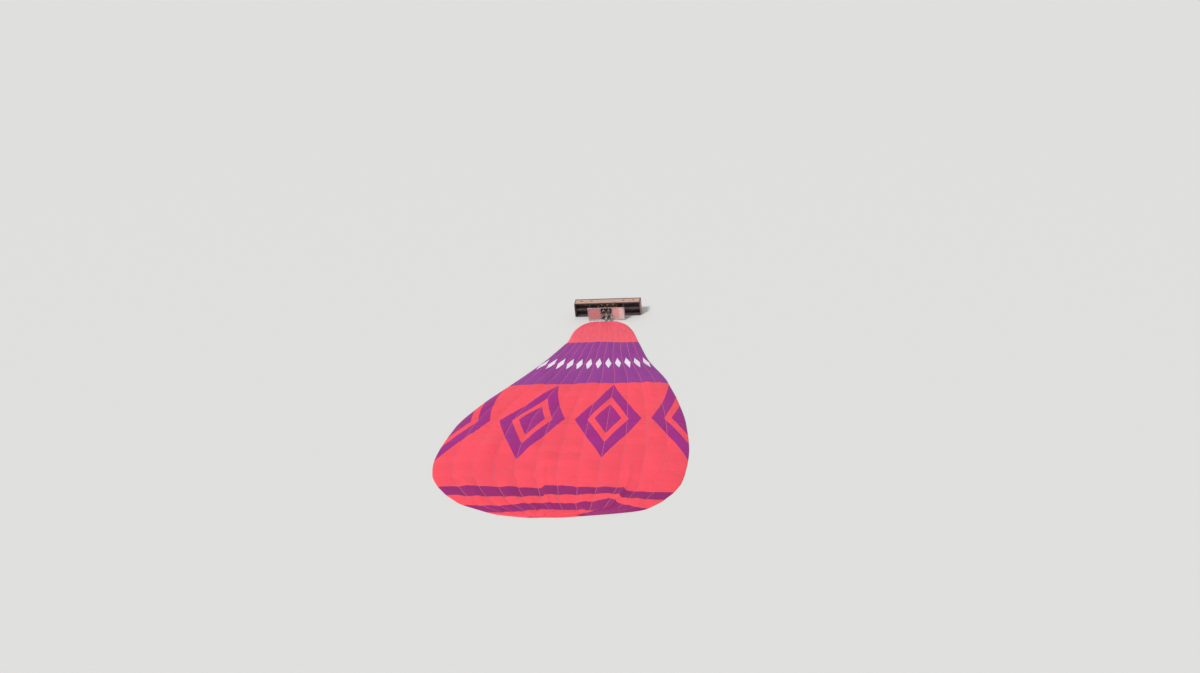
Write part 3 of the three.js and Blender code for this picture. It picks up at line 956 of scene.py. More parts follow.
def cane_effect():
    """Pairs of canes woven over and under stakes. Vector is (along, up), in metres. The second output is
    painted shade: dark between the rows and where a weaver passes under a stake.
    """
    group, given, out = effect("Woven cane", {"Vector": None}, ["Height", "Painted gap shade", "Tint"])
    split = axes(group, given["Vector"])
    row = maths(group, "DIVIDE", split["Y"], WEAVER)
    number = maths(group, "FLOOR", row)
    shift = times(group, number, math.pi)
    over = maths(group, "COSINE", maths(group, "MULTIPLY_ADD", split["X"], math.pi / STAKE, shift))
    pair = maths(group, "ABSOLUTE", maths(group, "SINE", times(group, row, math.tau)))
    rounded = maths(group, "POWER", pair, 0.5)
    height = maths(group, "MULTIPLY_ADD", over, 0.6, rounded)
    shade = maths(group, "MULTIPLY_ADD", rounded, 0.7, times(group, over, 0.25))
    start = add_node(group, "TexWhiteNoise", {"W": number}, noise_dimensions="1D").outputs["Value"]
    length = maths(group, "FLOOR", maths(group, "MULTIPLY_ADD", start, 9.0, split["X"]))
    cane = add_node(group, "CombineXYZ", {"X": number, "Y": length})
    tint = add_node(group, "TexWhiteNoise", {"Vector": cane.outputs[0]}, noise_dimensions="2D")
    group.links.new(height, out["Height"])
    group.links.new(ramp(group, shade, 0.1, 0.65, 1.0, 0.0), out["Painted gap shade"])
    group.links.new(tint.outputs["Value"], out["Tint"])
    return group


CANE = cane_effect()


# %% Suede nap
def nap_effect():
    """Brushed suede: a fine nap, and broad patches where it lies another way."""
    group, given, out = effect("Suede nap", {"Vector": None, "Fibre": 700.0}, ["Height", "Patches"])
    group.links.new(noise(group, given["Vector"], given["Fibre"], 2.0), out["Height"])
    broad = noise(group, given["Vector"], 9.0, 4.0, 0.8)
    group.links.new(ramp(group, broad, 0.35, 0.65), out["Patches"])
    return group


NAP = nap_effect()


# %% Streaks of brushing or grain
def streak_effect():
    """Fine streaks along one axis, as brushing or wood grain leaves them."""
    inputs = {"Vector": None, "Stretch": (1.0, 1.0, 1.0), "Scale": 60.0}
    group, given, out = effect("Streaks", inputs, ["Fine", "Broad"])
    pulled = add_node(group, "VectorMath", {0: given["Vector"], 1: given["Stretch"]}, operation="MULTIPLY")
    group.links.new(noise(group, pulled.outputs[0], given["Scale"], 5.0), out["Fine"])
    broad = noise(group, pulled.outputs[0], times(group, given["Scale"], 0.12), 3.0, 1.0)
    group.links.new(ramp(group, broad, 0.3, 0.7), out["Broad"])
    return group


STREAKS = streak_effect()


# %% Worn edges
def wear_effect():
    """Worn edges, broken up by noise."""
    group, given, out = effect("Worn edges", {"Vector": None, "Reach": 0.04}, ["Mask"])
    sharp = add_node(group, "NewGeometry").outputs["Pointiness"]
    high = maths(group, "ADD", 0.5, given["Reach"])
    edge = ramp(group, sharp, 0.505, high)
    broken = ramp(group, noise(group, given["Vector"], 35.0, 4.0), 0.38, 0.6)
    group.links.new(times(group, edge, broken), out["Mask"])
    return group


WEAR = wear_effect()


# %% Twill
def twill_effect():
    """Heavy diagonal weave, as in webbing and flame-proof cloth."""
    group, given, out = effect("Twill", {"Vector": None, "Rib": 0.004}, ["Height"])
    split = axes(group, given["Vector"])
    slant = maths(group, "ADD", split["X"], maths(group, "ADD", split["Y"], split["Z"]))
    turn = times(group, maths(group, "DIVIDE", slant, given["Rib"]), math.pi)
    group.links.new(maths(group, "ABSOLUTE", maths(group, "SINE", turn)), out["Height"])
    return group


TWILL = twill_effect()


# %% [markdown]
# ### Materials of the basket, the frame and the burners
#
# Each material has its own shader and places the effects in front of it with its own values.
# Suede glows at a low angle, so it has sheen; varnished cane has a thin coat; metal is fully
# metallic, and heat colours it only where the flame reaches. On cane, cloth and wood the dust
# goes on last, because it lies on top of everything else.

# %% Wicker
def start_material(name):
    """A new material, its tree, its shader and its place in the object's own metres."""
    print("material:", name)
    material = bpy.data.materials.new(name)
    material.use_nodes = True
    tree = material.node_tree
    return material, tree, tree.nodes["Principled BSDF"], add_node(tree, "TexCoord").outputs["Object"]


def wicker_material():
    material, tree, shader, _ = start_material("wicker")
    place = uv(tree, "weave")
    cane = use(tree, CANE, Vector=place)
    tinted = mix(tree, cane["Tint"], paint(240, 206, 190), paint(206, 158, 134))
    grain = use(tree, STREAKS, Vector=place, Stretch=(4, 60, 1), Scale=12.0)
    grained = mix(tree, times(tree, grain["Fine"], 0.25), tinted, paint(172, 124, 100))
    # Painted shade: the cane is darkened between its rows and where it passes under a stake.
    gap_shaded = mix(tree, times(tree, cane["Painted gap shade"], 0.65), grained, paint(92, 58, 48))
    dust = use(tree, DUST, Vector=place, Scale=1.5, Cover=0.45)["Mask"]
    fill(tree, shader, {
        "Base Color": mix(tree, times(tree, dust, 0.3), gap_shaded, paint(226, 206, 192)),
        "Normal": bumped(tree, cane["Height"], 0.004),
        "Roughness": ramp(tree, cane["Tint"], 0, 1, 0.5, 0.66),
        "Coat Weight": 0.15,
        "Coat Roughness": 0.35,
    })
    return material


wicker = wicker_material()


# %% Suede, plain and quilted
def suede_material(name, dark, light):
    material, tree, shader, place = start_material(name)
    nap = use(tree, NAP, Vector=place)
    patched = mix(tree, nap["Patches"], dark, light)
    dust = use(tree, DUST, Vector=place, Scale=1.1, Cover=0.42)["Mask"]
    fill(tree, shader, {
        "Base Color": mix(tree, times(tree, dust, 0.3), patched, paint(160, 140, 136)),
        "Normal": bumped(tree, nap["Height"], 0.0008),
        "Roughness": ramp(tree, nap["Patches"], 0, 1, 0.95, 0.82),
        "Sheen Weight": 0.35,
        "Sheen Roughness": 0.5,
    })
    return material


def quilted_suede_material(name, dark, light):
    """Suede with its stitched rows drawn in and darkened as painted shade: the pads' own coordinates count
    the quilts.
    """
    material = suede_material(name, dark, light)
    tree = material.node_tree
    shader = tree.nodes["Principled BSDF"]
    quilts = uv(tree, "quilt")
    split = axes(tree, quilts)
    apart = [maths(tree, "PINGPONG", split[axis], 0.5) for axis in "XY"]
    groove = ramp(tree, maths(tree, "MINIMUM", *apart), 0.0, 0.08, 1.0, 0.0)
    seam = ramp(tree, maths(tree, "MINIMUM", *apart), 0.006, 0.012, 1.0, 0.0)
    coloured, shaped = (shader.inputs[name].links[0].from_socket for name in ("Base Color", "Normal"))
    # Painted shade: the grooves along the stitching are darkened toward black.
    deep = mix(tree, times(tree, groove, 0.55), coloured, (0.008, 0.005, 0.008, 1))
    fill(tree, shader, {
        "Base Color": mix(tree, times(tree, seam, 0.5), deep, paint(40, 26, 36)),
        "Normal": bumped(tree, maths(tree, "SUBTRACT", 1.0, groove), 0.004, shaped),
    })
    return material


# The dark plum of the rim and of the quilted pads is partly the suede's own colour and partly painted shade,
# which keeps the basket's opening dark.
rim_suede = suede_material("rim_suede", paint(62, 40, 54), paint(80, 54, 70))
pad_suede = suede_material("pad_suede", paint(54, 38, 50), paint(70, 50, 64))
pole_suede = suede_material("pole_suede", paint(58, 46, 58), paint(74, 60, 72))
quilted_suede = quilted_suede_material("quilted_suede", paint(58, 40, 54), paint(74, 52, 68))


# %% Webbing, heavy cloth and cord
def heavy_cloth_material(name, colour, rib):
    """Webbing and flame-proof cloth: a coarse twill with painted shade in its grooves, and dust in patches.
    """
    material, tree, shader, place = start_material(name)
    twill = use(tree, TWILL, Vector=place, Rib=rib)["Height"]
    # Painted shade: the twill's grooves are darkened.
    twill_shaded = mix(tree, ramp(tree, twill, 0, 0.7, 0.22, 0.0), colour, (0.2, 0.08, 0.1, 1))
    creases = use(tree, CREASES, Vector=place, Scale=3.0)
    dust = use(tree, DUST, Vector=place, Scale=1.4, Cover=0.42)["Mask"]
    fill(tree, shader, {
        "Base Color": mix(tree, times(tree, dust, 0.22), twill_shaded, paint(190, 168, 160)),
        "Normal": bumped(tree, twill, rib * 0.15, bumped(tree, creases["Height"], 0.006)),
        "Roughness": ramp(tree, dust, 0, 1, 0.72, 0.88),
        "Sheen Weight": 0.2,
    })
    return material


tape_webbing = heavy_cloth_material("tape_webbing", paint(222, 96, 124), 0.003)
dark_webbing = heavy_cloth_material("dark_webbing", paint(62, 52, 70), 0.004)
salmon_cloth = heavy_cloth_material("salmon_cloth", paint(205, 134, 135), 0.005)
pale_salmon_cloth = heavy_cloth_material("pale_salmon_cloth", paint(227, 168, 164), 0.005)
cream_cloth = heavy_cloth_material("cream_cloth", paint(236, 200, 194), 0.005)
lacing_cord = heavy_cloth_material("lacing_cord", paint(206, 186, 170), 0.006)


# %% Wood
def wood_material(name, light, dark, stretch):
    material, tree, shader, place = start_material(name)
    grain = use(tree, STREAKS, Vector=place, Stretch=stretch, Scale=9.0)
    figured = mix(tree, grain["Broad"], light, dark)
    fine = mix(tree, ramp(tree, grain["Fine"], 0.45, 0.7, 0.0, 0.6), figured, dark)
    worn = use(tree, WEAR, Vector=place)["Mask"]
    scuffed = mix(tree, times(tree, worn, 0.7), fine, paint(214, 188, 150))
    mud = use(tree, DUST, Vector=place, Scale=0.9, Cover=0.45)["Mask"]
    fill(tree, shader, {
        "Base Color": mix(tree, times(tree, mud, 0.3), scuffed, paint(112, 90, 70)),
        "Normal": bumped(tree, grain["Fine"], 0.0008),
        "Roughness": ramp(tree, grain["Broad"], 0, 1, 0.5, 0.68),
    })
    return material


floor_wood = wood_material("floor_wood", paint(176, 138, 96), paint(126, 92, 60), (0.6, 6, 6))
runner_wood = wood_material("runner_wood", paint(164, 124, 82), paint(104, 72, 46), (0.5, 8, 8))


# %% Metal
STRAW, BRONZE, BLUE = paint(196, 160, 96), paint(120, 84, 92), paint(84, 92, 132)
# Burnt colours of the cans, from Y to Y, as their heat leaves them
CAN_HEAT = [(BLUE, 16.75, 16.62), (BRONZE, 16.66, 16.54), (STRAW, 16.54, 16.47)]


def metal_material(name, colour, stretch, rough, tints=()):
    """Brushed metal. Each tint is (colour, the Y where it begins and the Y where it is full)."""
    material, tree, shader, place = start_material(name)
    streaks = use(tree, STREAKS, Vector=place, Stretch=stretch, Scale=90.0)
    base = mix(tree, times(tree, streaks["Fine"], 0.35), colour, (0.9, 0.9, 0.92, 1))
    along = axes(tree, place)["Y"]
    wander = maths(tree, "MULTIPLY_ADD", streaks["Broad"], 0.06, along)
    for tint, low, high in tints:
        base = mix(tree, ramp(tree, wander, low, high, 0.0, 0.75), base, tint)
    worn = use(tree, WEAR, Vector=place)["Mask"]
    smudge = use(tree, DUST, Vector=place, Scale=2.2, Cover=0.45)["Mask"]
    shine = ramp(tree, streaks["Fine"], 0.2, 0.8, rough - 0.06, rough + 0.1)
    fill(tree, shader, {
        "Base Color": mix(tree, times(tree, worn, 0.5), base, (0.82, 0.82, 0.84, 1)),
        "Roughness": maths(tree, "MULTIPLY_ADD", smudge, 0.16, shine),
        "Normal": bumped(tree, streaks["Fine"], 0.0003),
        "Metallic": 1.0,
    })
    return material


cylinder_steel = metal_material("cylinder_steel", (0.62, 0.63, 0.65, 1), (8, 0.4, 8), 0.3)
frame_steel = metal_material("frame_steel", (0.5, 0.52, 0.55, 1), (0.5, 6, 6), 0.32)
burner_steel = metal_material("burner_steel", (0.42, 0.43, 0.46, 1), (6, 0.6, 6), 0.3, CAN_HEAT)
coil_steel = metal_material("coil_steel", (0.36, 0.34, 0.36, 1), (6, 6, 6), 0.36, [(BRONZE, 16.8, 16.6)])
brass = metal_material("brass", paint(178, 142, 74), (6, 6, 1), 0.3)


# %% Paint over metal
def painted_material(name, colour, worn_to):
    material, tree, shader, place = start_material(name)
    worn = use(tree, WEAR, Vector=place, Reach=0.05)["Mask"]
    streaks = use(tree, STREAKS, Vector=place, Stretch=(1, 1, 1), Scale=300.0)
    smudge = use(tree, DUST, Vector=place, Scale=2.5, Cover=0.45)["Mask"]
    dusty = mix(tree, times(tree, smudge, 0.25), colour, paint(150, 146, 142))
    fill(tree, shader, {
        "Base Color": mix(tree, worn, dusty, worn_to),
        "Metallic": ramp(tree, worn, 0, 1, 0.0, 0.85),
        "Roughness": ramp(tree, smudge, 0, 1, 0.36, 0.6),
        "Normal": bumped(tree, streaks["Fine"], 0.0002),
        "Coat Weight": 0.2,
    })
    return material


burner_paint = painted_material("burner_paint", paint(66, 72, 92), (0.45, 0.46, 0.5, 1))
grip_red = painted_material("grip_red", paint(150, 40, 44), paint(90, 60, 60))
print("materials:", len(bpy.data.materials))

# %% [markdown]
# ### Tapes, hem and mouth
#
# Woven load tapes run over every seam between gores, from the mouth to the crown, and carry
# the load that the thin cloth can't. They are ribbons laid on the same surface as the cloth,
# a few millimetres above it. The mouth's edge is turned over a cord and stitched.

# %% Build the load tapes and the mouth's hem
TAPE_WIDTH = 0.04
TAPE_LIFT = 0.004
HEM_RADIUS = 0.012
HEM_FLAT = 0.6      # the lower hem is pressed flatter
HEM_INSET = 0.02    # in gores
HEM_POINTS = 145


def build_tapes():
    front = band_lines(MOUTH_T, BAND_T_SEAMS[0], FINE_STEP)
    t = np.concatenate([front, band_lines(BAND_T_SEAMS[0], CROWN_T, ROW_STEP)[1:]])[:, None]
    width = (left_at(t) + right_at(t)) / GORES
    ribbons = []
    for gore in range(1, GORES):
        across = gore + np.array([[-0.5, 0, 0.5]]) * TAPE_WIDTH / width
        grid = upper_points(across, np.repeat(t, 3, 1))
        grid[..., 2] += TAPE_LIFT
        ribbons.append(surface(grid))
    piece("load_tapes", ribbons, tape_webbing, "coral_cloth")


def build_hem():
    gore = np.linspace(HEM_INSET, GORES - HEM_INSET, HEM_POINTS)
    upper = upper_points(gore, np.full_like(gore, MOUTH_T))
    lower = upper.copy()
    lower[:, 2] = LOWER_BASE + HEM_RADIUS * HEM_FLAT
    roll = ring(HEM_RADIUS, 8)
    rolls = [swept(upper, roll), swept(lower, roll * HEM_FLAT)]
    piece("mouth_hem", rolls, salmon_cloth, "salmon_cloth")


build_tapes()
build_hem()

# %% [markdown]
# ## Basket
#
# ### Woven walls
#
# Balloon baskets are woven from cane over upright stakes, because wicker gives when it lands.
# A photo texture would look flat at the edges. Here the outer faces are real relief: a fine
# grid whose height goes up where a weaver passes over a stake and down where it passes under,
# with every second row the other way round. The single canes, their colours and the painted shade
# between the rows come from the finish.

# %% Build the woven walls
RELIEF = 0.005
WALL_CELL = (0.02, 0.0075)   # three cells to a stake, two to a weaver
FLAT_CELL = (0.03, 0.03)     # behind a pad, without relief
BACK_CELL = (0.06, 0.06)     # the same where there are no holes
X, Y, Z = np.eye(3)
HOLES = [(x, 18.517) for x in (-1.75, -0.7, 2.7, 3.75)]   # foot holes, in X and Y
HOLE_HALF = np.array([0.08, 0.055])
HOLE_RIM = 0.006             # cane left out round a hole, under its hide


def even_grid(down, across):
    """Two even runs, each (first, last, count), crossed into a grid."""
    return np.meshgrid(np.linspace(*down), np.linspace(*across), indexing="ij")


def facing(faces, along, down, out):
    """A grid's faces, turned over where they would look away from out."""
    return faces[:, ::-1] if np.dot(np.cross(down, along), out) < 0 else faces


def woven_face(corner, along, down, out, size, cell, holes=()):
    """One face of a woven wall. Returns its points, faces and weave coordinates."""
    columns, rows_count = (max(1, round(side / step)) + 1 for side, step in zip(size, cell))
    v, u = even_grid((0, size[1], rows_count), (0, size[0], columns))
    row = np.floor(v / WEAVER + 1e-6)
    bulge = np.abs(np.sin(math.pi * v / WEAVER)) ** 0.6
    height = RELIEF * (np.cos(math.pi * (u / STAKE + row)) * bulge - 1)
    if cell is not WALL_CELL:
        height = np.zeros_like(height)
    points = np.asarray(corner) + u[..., None] * along + v[..., None] * down + height[..., None] * out
    faces = grid_faces(rows_count, columns)
    middle = points.reshape(-1, 3)[faces].mean(1)
    for hole in holes:
        outside = (np.abs(middle[:, :2] - hole) > HOLE_HALF + HOLE_RIM).any(1)
        faces, middle = faces[outside], middle[outside]
    faces = facing(faces, along, down, out)
    return points.reshape(-1, 3), faces, np.stack([u, v], -1).reshape(-1, 2)


def woven_wall(node, faces):
    """A wall from several woven faces, in place of its node."""
    shapes = [woven_face(**face) for face in faces]
    obj = piece("woven_" + node, [shape[:2] for shape in shapes], wicker, "wicker", replaces=[node])
    add_uv(obj, "weave", np.vstack([shape[2] for shape in shapes]))


def two_faces(node, along, out, cells, holes=()):
    """The faces of a panel. The first looks out, the second is its back."""
    low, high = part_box(node)
    size = (high.x - low.x if along is X else high.z - low.z, high.y - low.y)
    low, high = np.array(low), np.array(high)
    front = np.where(out > 0.5, high, low)
    back = np.where(out < -0.5, high, low)
    common = dict(along=along, down=Y, size=size, holes=holes)
    return [
        dict(corner=front, out=out, cell=cells[0], **common),
        dict(corner=back, out=-out, cell=cells[1], **common),
    ]


# Node, direction along it, direction that its front looks to, cells of front and back, holes
PANELS_OF_CANE = [
    ("basket_wall_low", X, -Z, WALL_CELL, FLAT_CELL, HOLES),
    ("basket_wall_high", X, Z, WALL_CELL, FLAT_CELL, HOLES),
    ("basket_end_left", Z, -X, WALL_CELL, BACK_CELL, ()),
    ("basket_end_right", Z, X, WALL_CELL, BACK_CELL, ()),
    ("partition_left", Z, X, WALL_CELL, BACK_CELL, ()),
    ("partition_right", Z, -X, WALL_CELL, BACK_CELL, ()),
    ("divider_left", X, Z, BACK_CELL, BACK_CELL, ()),
    ("divider_right", X, Z, BACK_CELL, BACK_CELL, ()),
]
for node, along, out, outer, inner, holes in PANELS_OF_CANE:
    woven_wall(node, two_faces(node, along, out, (outer, inner), holes))

# %% [markdown]
# ### Rim, hides and handles
#
# The rim is foam round a tube, covered in suede that is laced on with a cord. Hides are also
# stitched round the foot of the walls, the corners and the foot holes, where cane would wear.

# %% Build the rim
rim_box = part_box("basket_rim")
RIM_SECTION = (0.04, 0.03)
RIM_CORNER = 0.08
RIM_STEP = 0.025
RIM_PITCH = 0.1           # one turn of the lacing
CORD = 0.003


def rounded(low, high, corner, y, steps=6):
    """A closed rounded rectangle in X and Z, at one Y."""
    turns = np.linspace(0, math.pi / 2, steps + 1)
    path = []
    for k, (sx, sz) in enumerate([(1, -1), (1, 1), (-1, 1), (-1, -1)]):
        centre_x = (high[0] if sx > 0 else low[0]) - sx * corner
        centre_z = (high[1] if sz > 0 else low[1]) - sz * corner
        for turn in turns + (k - 1) * math.pi / 2:
            path.append((centre_x + corner * math.cos(turn), y, centre_z + corner * math.sin(turn)))
    return np.array(path)


def puffed(half_width, half_height, sides=20, power=3.0):
    """A cushion-like section, between an oval and a rectangle."""
    turn = np.arange(sides) * math.tau / sides
    c, s = (np.sign(wave) * np.abs(wave) ** (2 / power) for wave in (np.cos(turn), np.sin(turn)))
    return np.stack([half_width * c, half_height * s], -1)


def swelling(run, pitch, least, rise):
    """A roll's thickness, as a share. It dips where a cord or a button draws it in."""
    return least + rise * np.abs(np.sin(math.pi * run / pitch)) ** 0.7


def build_rim():
    low, high = rim_box
    inset = RIM_SECTION[0]
    inner_low, inner_high = (low.x + inset, low.z + inset), (high.x - inset, high.z - inset)
    line = rounded(inner_low, inner_high, RIM_CORNER, (low.y + high.y) / 2)
    path = resampled(line, RIM_STEP, closed=True)
    swell = swelling(np.arange(len(path)) * RIM_STEP, RIM_PITCH, 0.965, 0.035)
    section = puffed(*RIM_SECTION)[None] * swell[:, None, None]
    roll = swept(path, section, up=Y, closed=True)
    rim = piece("rim_pad", [roll], rim_suede, "rim_hide", replaces=["basket_rim"])
    over = (RIM_SECTION[0] + 0.001, RIM_SECTION[1] + 0.001)
    cord = swept(wound(line, over, RIM_PITCH, up=Y, closed=True), ring(CORD, 5), up=Y, closed=True)
    piece("rim_lacing", [cord], lacing_cord, "rim_hide")


build_rim()

# %% Build the hides
RIM_HIDE, FOOT_HIDE = 0.035, 0.055   # half widths of the bands at the walls' top and foot
CORNER_CAP = 0.07         # hide over each corner, where the rim's bend leaves the cane bare
# Section of the hide that wraps an upright corner, in X and Z
CORNER_HIDE = np.array([
    (0, 0.09), (-0.003, 0.09), (-0.003, 0.006), (0.006, -0.003),
    (0.09, -0.003), (0.09, 0), (0.012, 0), (0, 0.012),
])


def strip(half_height, thick):
    """A flat section, upright."""
    return np.array([(-1, -1), (1, -1), (1, 1), (-1, 1)]) * (thick, half_height)


def build_hides():
    low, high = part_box("basket_wall_low")
    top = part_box("basket_wall_high")[1].z
    shapes = []
    for y, half in ((low.y + RIM_HIDE, RIM_HIDE), (high.y - FOOT_HIDE, FOOT_HIDE)):
        line = rounded((low.x - 0.001, low.z - 0.001), (high.x + 0.001, top + 0.001), 0.012, y, 3)
        shapes.append(swept(line, strip(half, 0.004), up=Y, closed=True))
    sides, levels = ((low.x, 1), (high.x, -1)), ((low.z, 1), (top, -1))
    for (z, sz), (x, sx) in itertools.product(levels, sides):
        corner = CORNER_HIDE * (sx, sz) + (x, z)
        points = np.array([(px, y, pz) for y in (low.y, high.y) for px, pz in corner])
        shapes.append((points, grid_faces(2, len(corner), closed=True)[:, ::sx * sz]))
        cap = (x, low.y - 0.002, z), (x + sx * CORNER_CAP, low.y + 0.004, z + sz * CORNER_CAP)
        shapes.append(block(*np.sort(cap, axis=0)))
    for x, y in HOLES:
        for z in ((low.z + high.z) / 2, top - (high.z - low.z) / 2):
            line = rounded(-HOLE_HALF - 0.012, HOLE_HALF + 0.012, 0.04, 0)[:, [0, 2, 1]]
            shapes.append(swept(line + (x, y, z), strip(0.025, 0.014), closed=True))
    piece("basket_hides", shapes, rim_suede, "rim_hide", crisp=50)


build_hides()

# %% Build the handles
HANDLE = (0.16, 0.10)     # half length and drop
HANDLE_Y = 18.30
ROPE = 0.011


def handle(middle, along, out):
    """A rope handle that hangs toward the rim's far side, and the hide tabs at its ends."""
    middle = np.array(middle)
    bow = np.linspace(0, math.pi, 25)[:, None]
    line = middle - HANDLE[0] * np.cos(bow) * along - HANDLE[1] * np.sin(bow) * Y
    line = line + (0.006 + 0.010 * np.sin(bow)) * out
    tabs = []
    for end in (line[0], line[-1]):
        half = 0.022 * np.abs(along) + 0.03 * Y + 0.005 * np.abs(out)
        seat = end - 0.004 * out + 0.012 * Y
        tabs.append(block(seat - half, seat + half))
    return swept(line, ring(ROPE, 10), up=out), tabs


def build_handles():
    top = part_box("basket_wall_high")[1].z
    left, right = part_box("basket_end_left")[0].x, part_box("basket_end_right")[1].x
    middle_z = (rim_box[0].z + rim_box[1].z) / 2
    made = [handle((x, HANDLE_Y, top), X, Z) for x in (-1.22, 0.25, 1.75, 3.22)]
    made += [handle((x, HANDLE_Y, middle_z), Z, out) for x, out in ((left, -X), (right, X))]
    piece("rope_handles", [rope for rope, _ in made], lacing_cord, "rim_hide")
    tabs = piece("handle_tabs", [tab for _, pair in made for tab in pair], rim_suede, "rim_hide", crisp=30)
    soften(tabs, 0.003)


build_handles()

# %% [markdown]
# ### Padding in the bays
#
# Suede pads line the bays, held by rows of stitching. A pad of this kind is foam on a board, so
# it keeps the shape its stitches give it: the surface rises between them and dips along them,
# and that is how each grid is built here.

# %% Build the bays' padding
# The pads' dark plum is partly the suede's own colour and partly painted shade, which keeps the bays dark.
PAD_THICK = 0.022
QUILT = 0.24
PAD_CELL = 0.03
PAD_INSET = 0.02


def pad(corner, along, down, out, size, holes=()):
    """A quilted pad on a wall: a crowned front and its rolled edges, cut out round foot holes.
    Returns its points, faces and quilt coordinates."""
    corner = np.asarray(corner) + PAD_INSET * (along + down)
    size = (size[0] - 2 * PAD_INSET, size[1] - 2 * PAD_INSET)
    columns, lines = (round(side / PAD_CELL) + 1 for side in size)
    v, u = even_grid((0, size[1], lines), (0, size[0], columns))
    quilt_u, quilt_v = (side / max(1, round(side / QUILT)) for side in size)
    seam_u, seam_v = np.abs(np.sin(math.pi * u / quilt_u)), np.abs(np.sin(math.pi * v / quilt_v))
    border = np.minimum(np.minimum(u, size[0] - u), np.minimum(v, size[1] - v))
    flat = corner + u[..., None] * along + v[..., None] * down
    beside_hole = np.full_like(u, 9.0)
    for hole in holes:
        beyond = np.abs(flat[..., :2] - hole) - HOLE_HALF
        beside_hole = np.minimum(beside_hole, beyond.max(-1))
    border = np.minimum(border, beside_hole - 0.02)
    crown = 0.45 + 0.55 * (seam_u * seam_v) ** 0.4
    height = PAD_THICK * crown * step_up(border, -0.02, 0.035)
    height[[0, -1], :] = 0
    height[:, [0, -1]] = 0
    faces = grid_faces(lines, columns)
    faces = facing(faces[beside_hole.ravel()[faces].min(1) > 0.005], along, down, out)
    quilts = np.stack([u / quilt_u, v / quilt_v], -1).reshape(-1, 2)
    return (flat + height[..., None] * out).reshape(-1, 3), faces, quilts


def padding(name, pads):
    """One padded piece from several pads."""
    obj = piece(name, [shape[:2] for shape in pads], quilted_suede, "rim_hide")
    add_uv(obj, "quilt", np.vstack([shape[2] for shape in pads]))


def build_padding():
    low_wall, high_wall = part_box("basket_wall_low"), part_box("basket_wall_high")
    inner_low, inner_high = low_wall[1].z, high_wall[0].z
    y0, y1 = low_wall[0].y, low_wall[1].y
    tall = y1 - y0
    ends = [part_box("basket_end_left")[1].x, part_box("basket_end_right")[0].x]
    cross = [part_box("partition_left"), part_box("partition_right")]
    for side, x0, x1 in (("left", ends[0], cross[0][0].x), ("right", cross[1][1].x, ends[1])):
        divide_low, divide_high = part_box("divider_" + side)
        for row, z0, z1 in (("low", inner_low, divide_low.z), ("high", divide_high.z, inner_high)):
            wide, deep = x1 - x0, z1 - z0
            padding(f"padding_{row}_{side}", [
                pad((x0, y0, z0), X, Y, Z, (wide, tall), HOLES if row == "low" else ()),
                pad((x0, y0, z1), X, Y, -Z, (wide, tall), HOLES if row == "high" else ()),
                pad((x0, y0, z0), Z, Y, X, (deep, tall)),
                pad((x1, y0, z0), Z, Y, -X, (deep, tall)),
            ])
    half_way = (inner_high - inner_low, tall * 0.45)
    padding("padding_pilot", [
        pad((cross[0][1].x, y0, inner_low), Z, Y, X, half_way),
        pad((cross[1][0].x, y0, inner_low), Z, Y, -X, half_way),
    ])


build_padding()

# %% Build the rolls on the partitions
ROLL_STEP = 0.03
ROLL_SECTION = (0.032, 0.026)
BUTTON_PITCH = 0.15


def build_partition_rolls():
    """Padded rolls along the open edges of the partitions and dividers."""
    shapes = []
    for node in ("partition_left", "partition_right", "divider_left", "divider_right"):
        low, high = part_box(node)
        middle = (low + high) / 2
        if high.x - low.x > high.z - low.z:
            line = [(low.x, low.y, middle.z), (high.x, low.y, middle.z)]
        else:
            line = [(middle.x, low.y, low.z), (middle.x, low.y, high.z)]
        line = resampled(line, ROLL_STEP)
        swell = swelling(np.arange(len(line)) * ROLL_STEP, BUTTON_PITCH, 0.93, 0.07)
        section = puffed(*ROLL_SECTION, 16, 2.6)[None] * swell[:, None, None]
        shapes.append(swept(line + np.array((0, 0.012, 0)), section, up=Y))
    rolls = piece("partition_rolls", shapes, rim_suede, "rim_hide")


build_partition_rolls()

# %% [markdown]
# ### Floor, runners and gas cylinders
#
# The floor is varnished plywood, and three hardwood runners under it take the landings. The
# cylinders are welded from two deep-drawn halves, so each has a seam round its middle. A
# collar with cut-outs guards the valve, and a quilted jacket keeps the gas from cooling.

# %% Build the floor and the runners
BOLT_HEAD = [(0, 0.0), (0.016, 0.0), (0.016, 0.003), (0.010, 0.005), (0, 0.005)]
BOLTS_EACH = 9            # in each runner


def build_floor():
    board = [block(*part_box("basket_floor"))]
    deck = piece("floor_board", board, floor_wood, "floor_plywood", crisp=30, replaces=["basket_floor"])
    soften(deck, 0.003)
    bolts = []
    for name in ("runner_low", "runner_middle", "runner_high"):
        low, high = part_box(name)
        beam = [block(low, high)]
        runner = piece("wood_" + name, beam, runner_wood, "runner_wood", crisp=30, replaces=[name])
        soften(runner, 0.005, 3)
        for x in np.linspace(low.x + 0.25, high.x - 0.25, BOLTS_EACH):
            bolts.append(turned(BOLT_HEAD, (x, high.y - 0.0005, (low.z + high.z) / 2), Y, 12))
    piece("runner_bolts", bolts, frame_steel, "frame_steel", crisp=40)


build_floor()

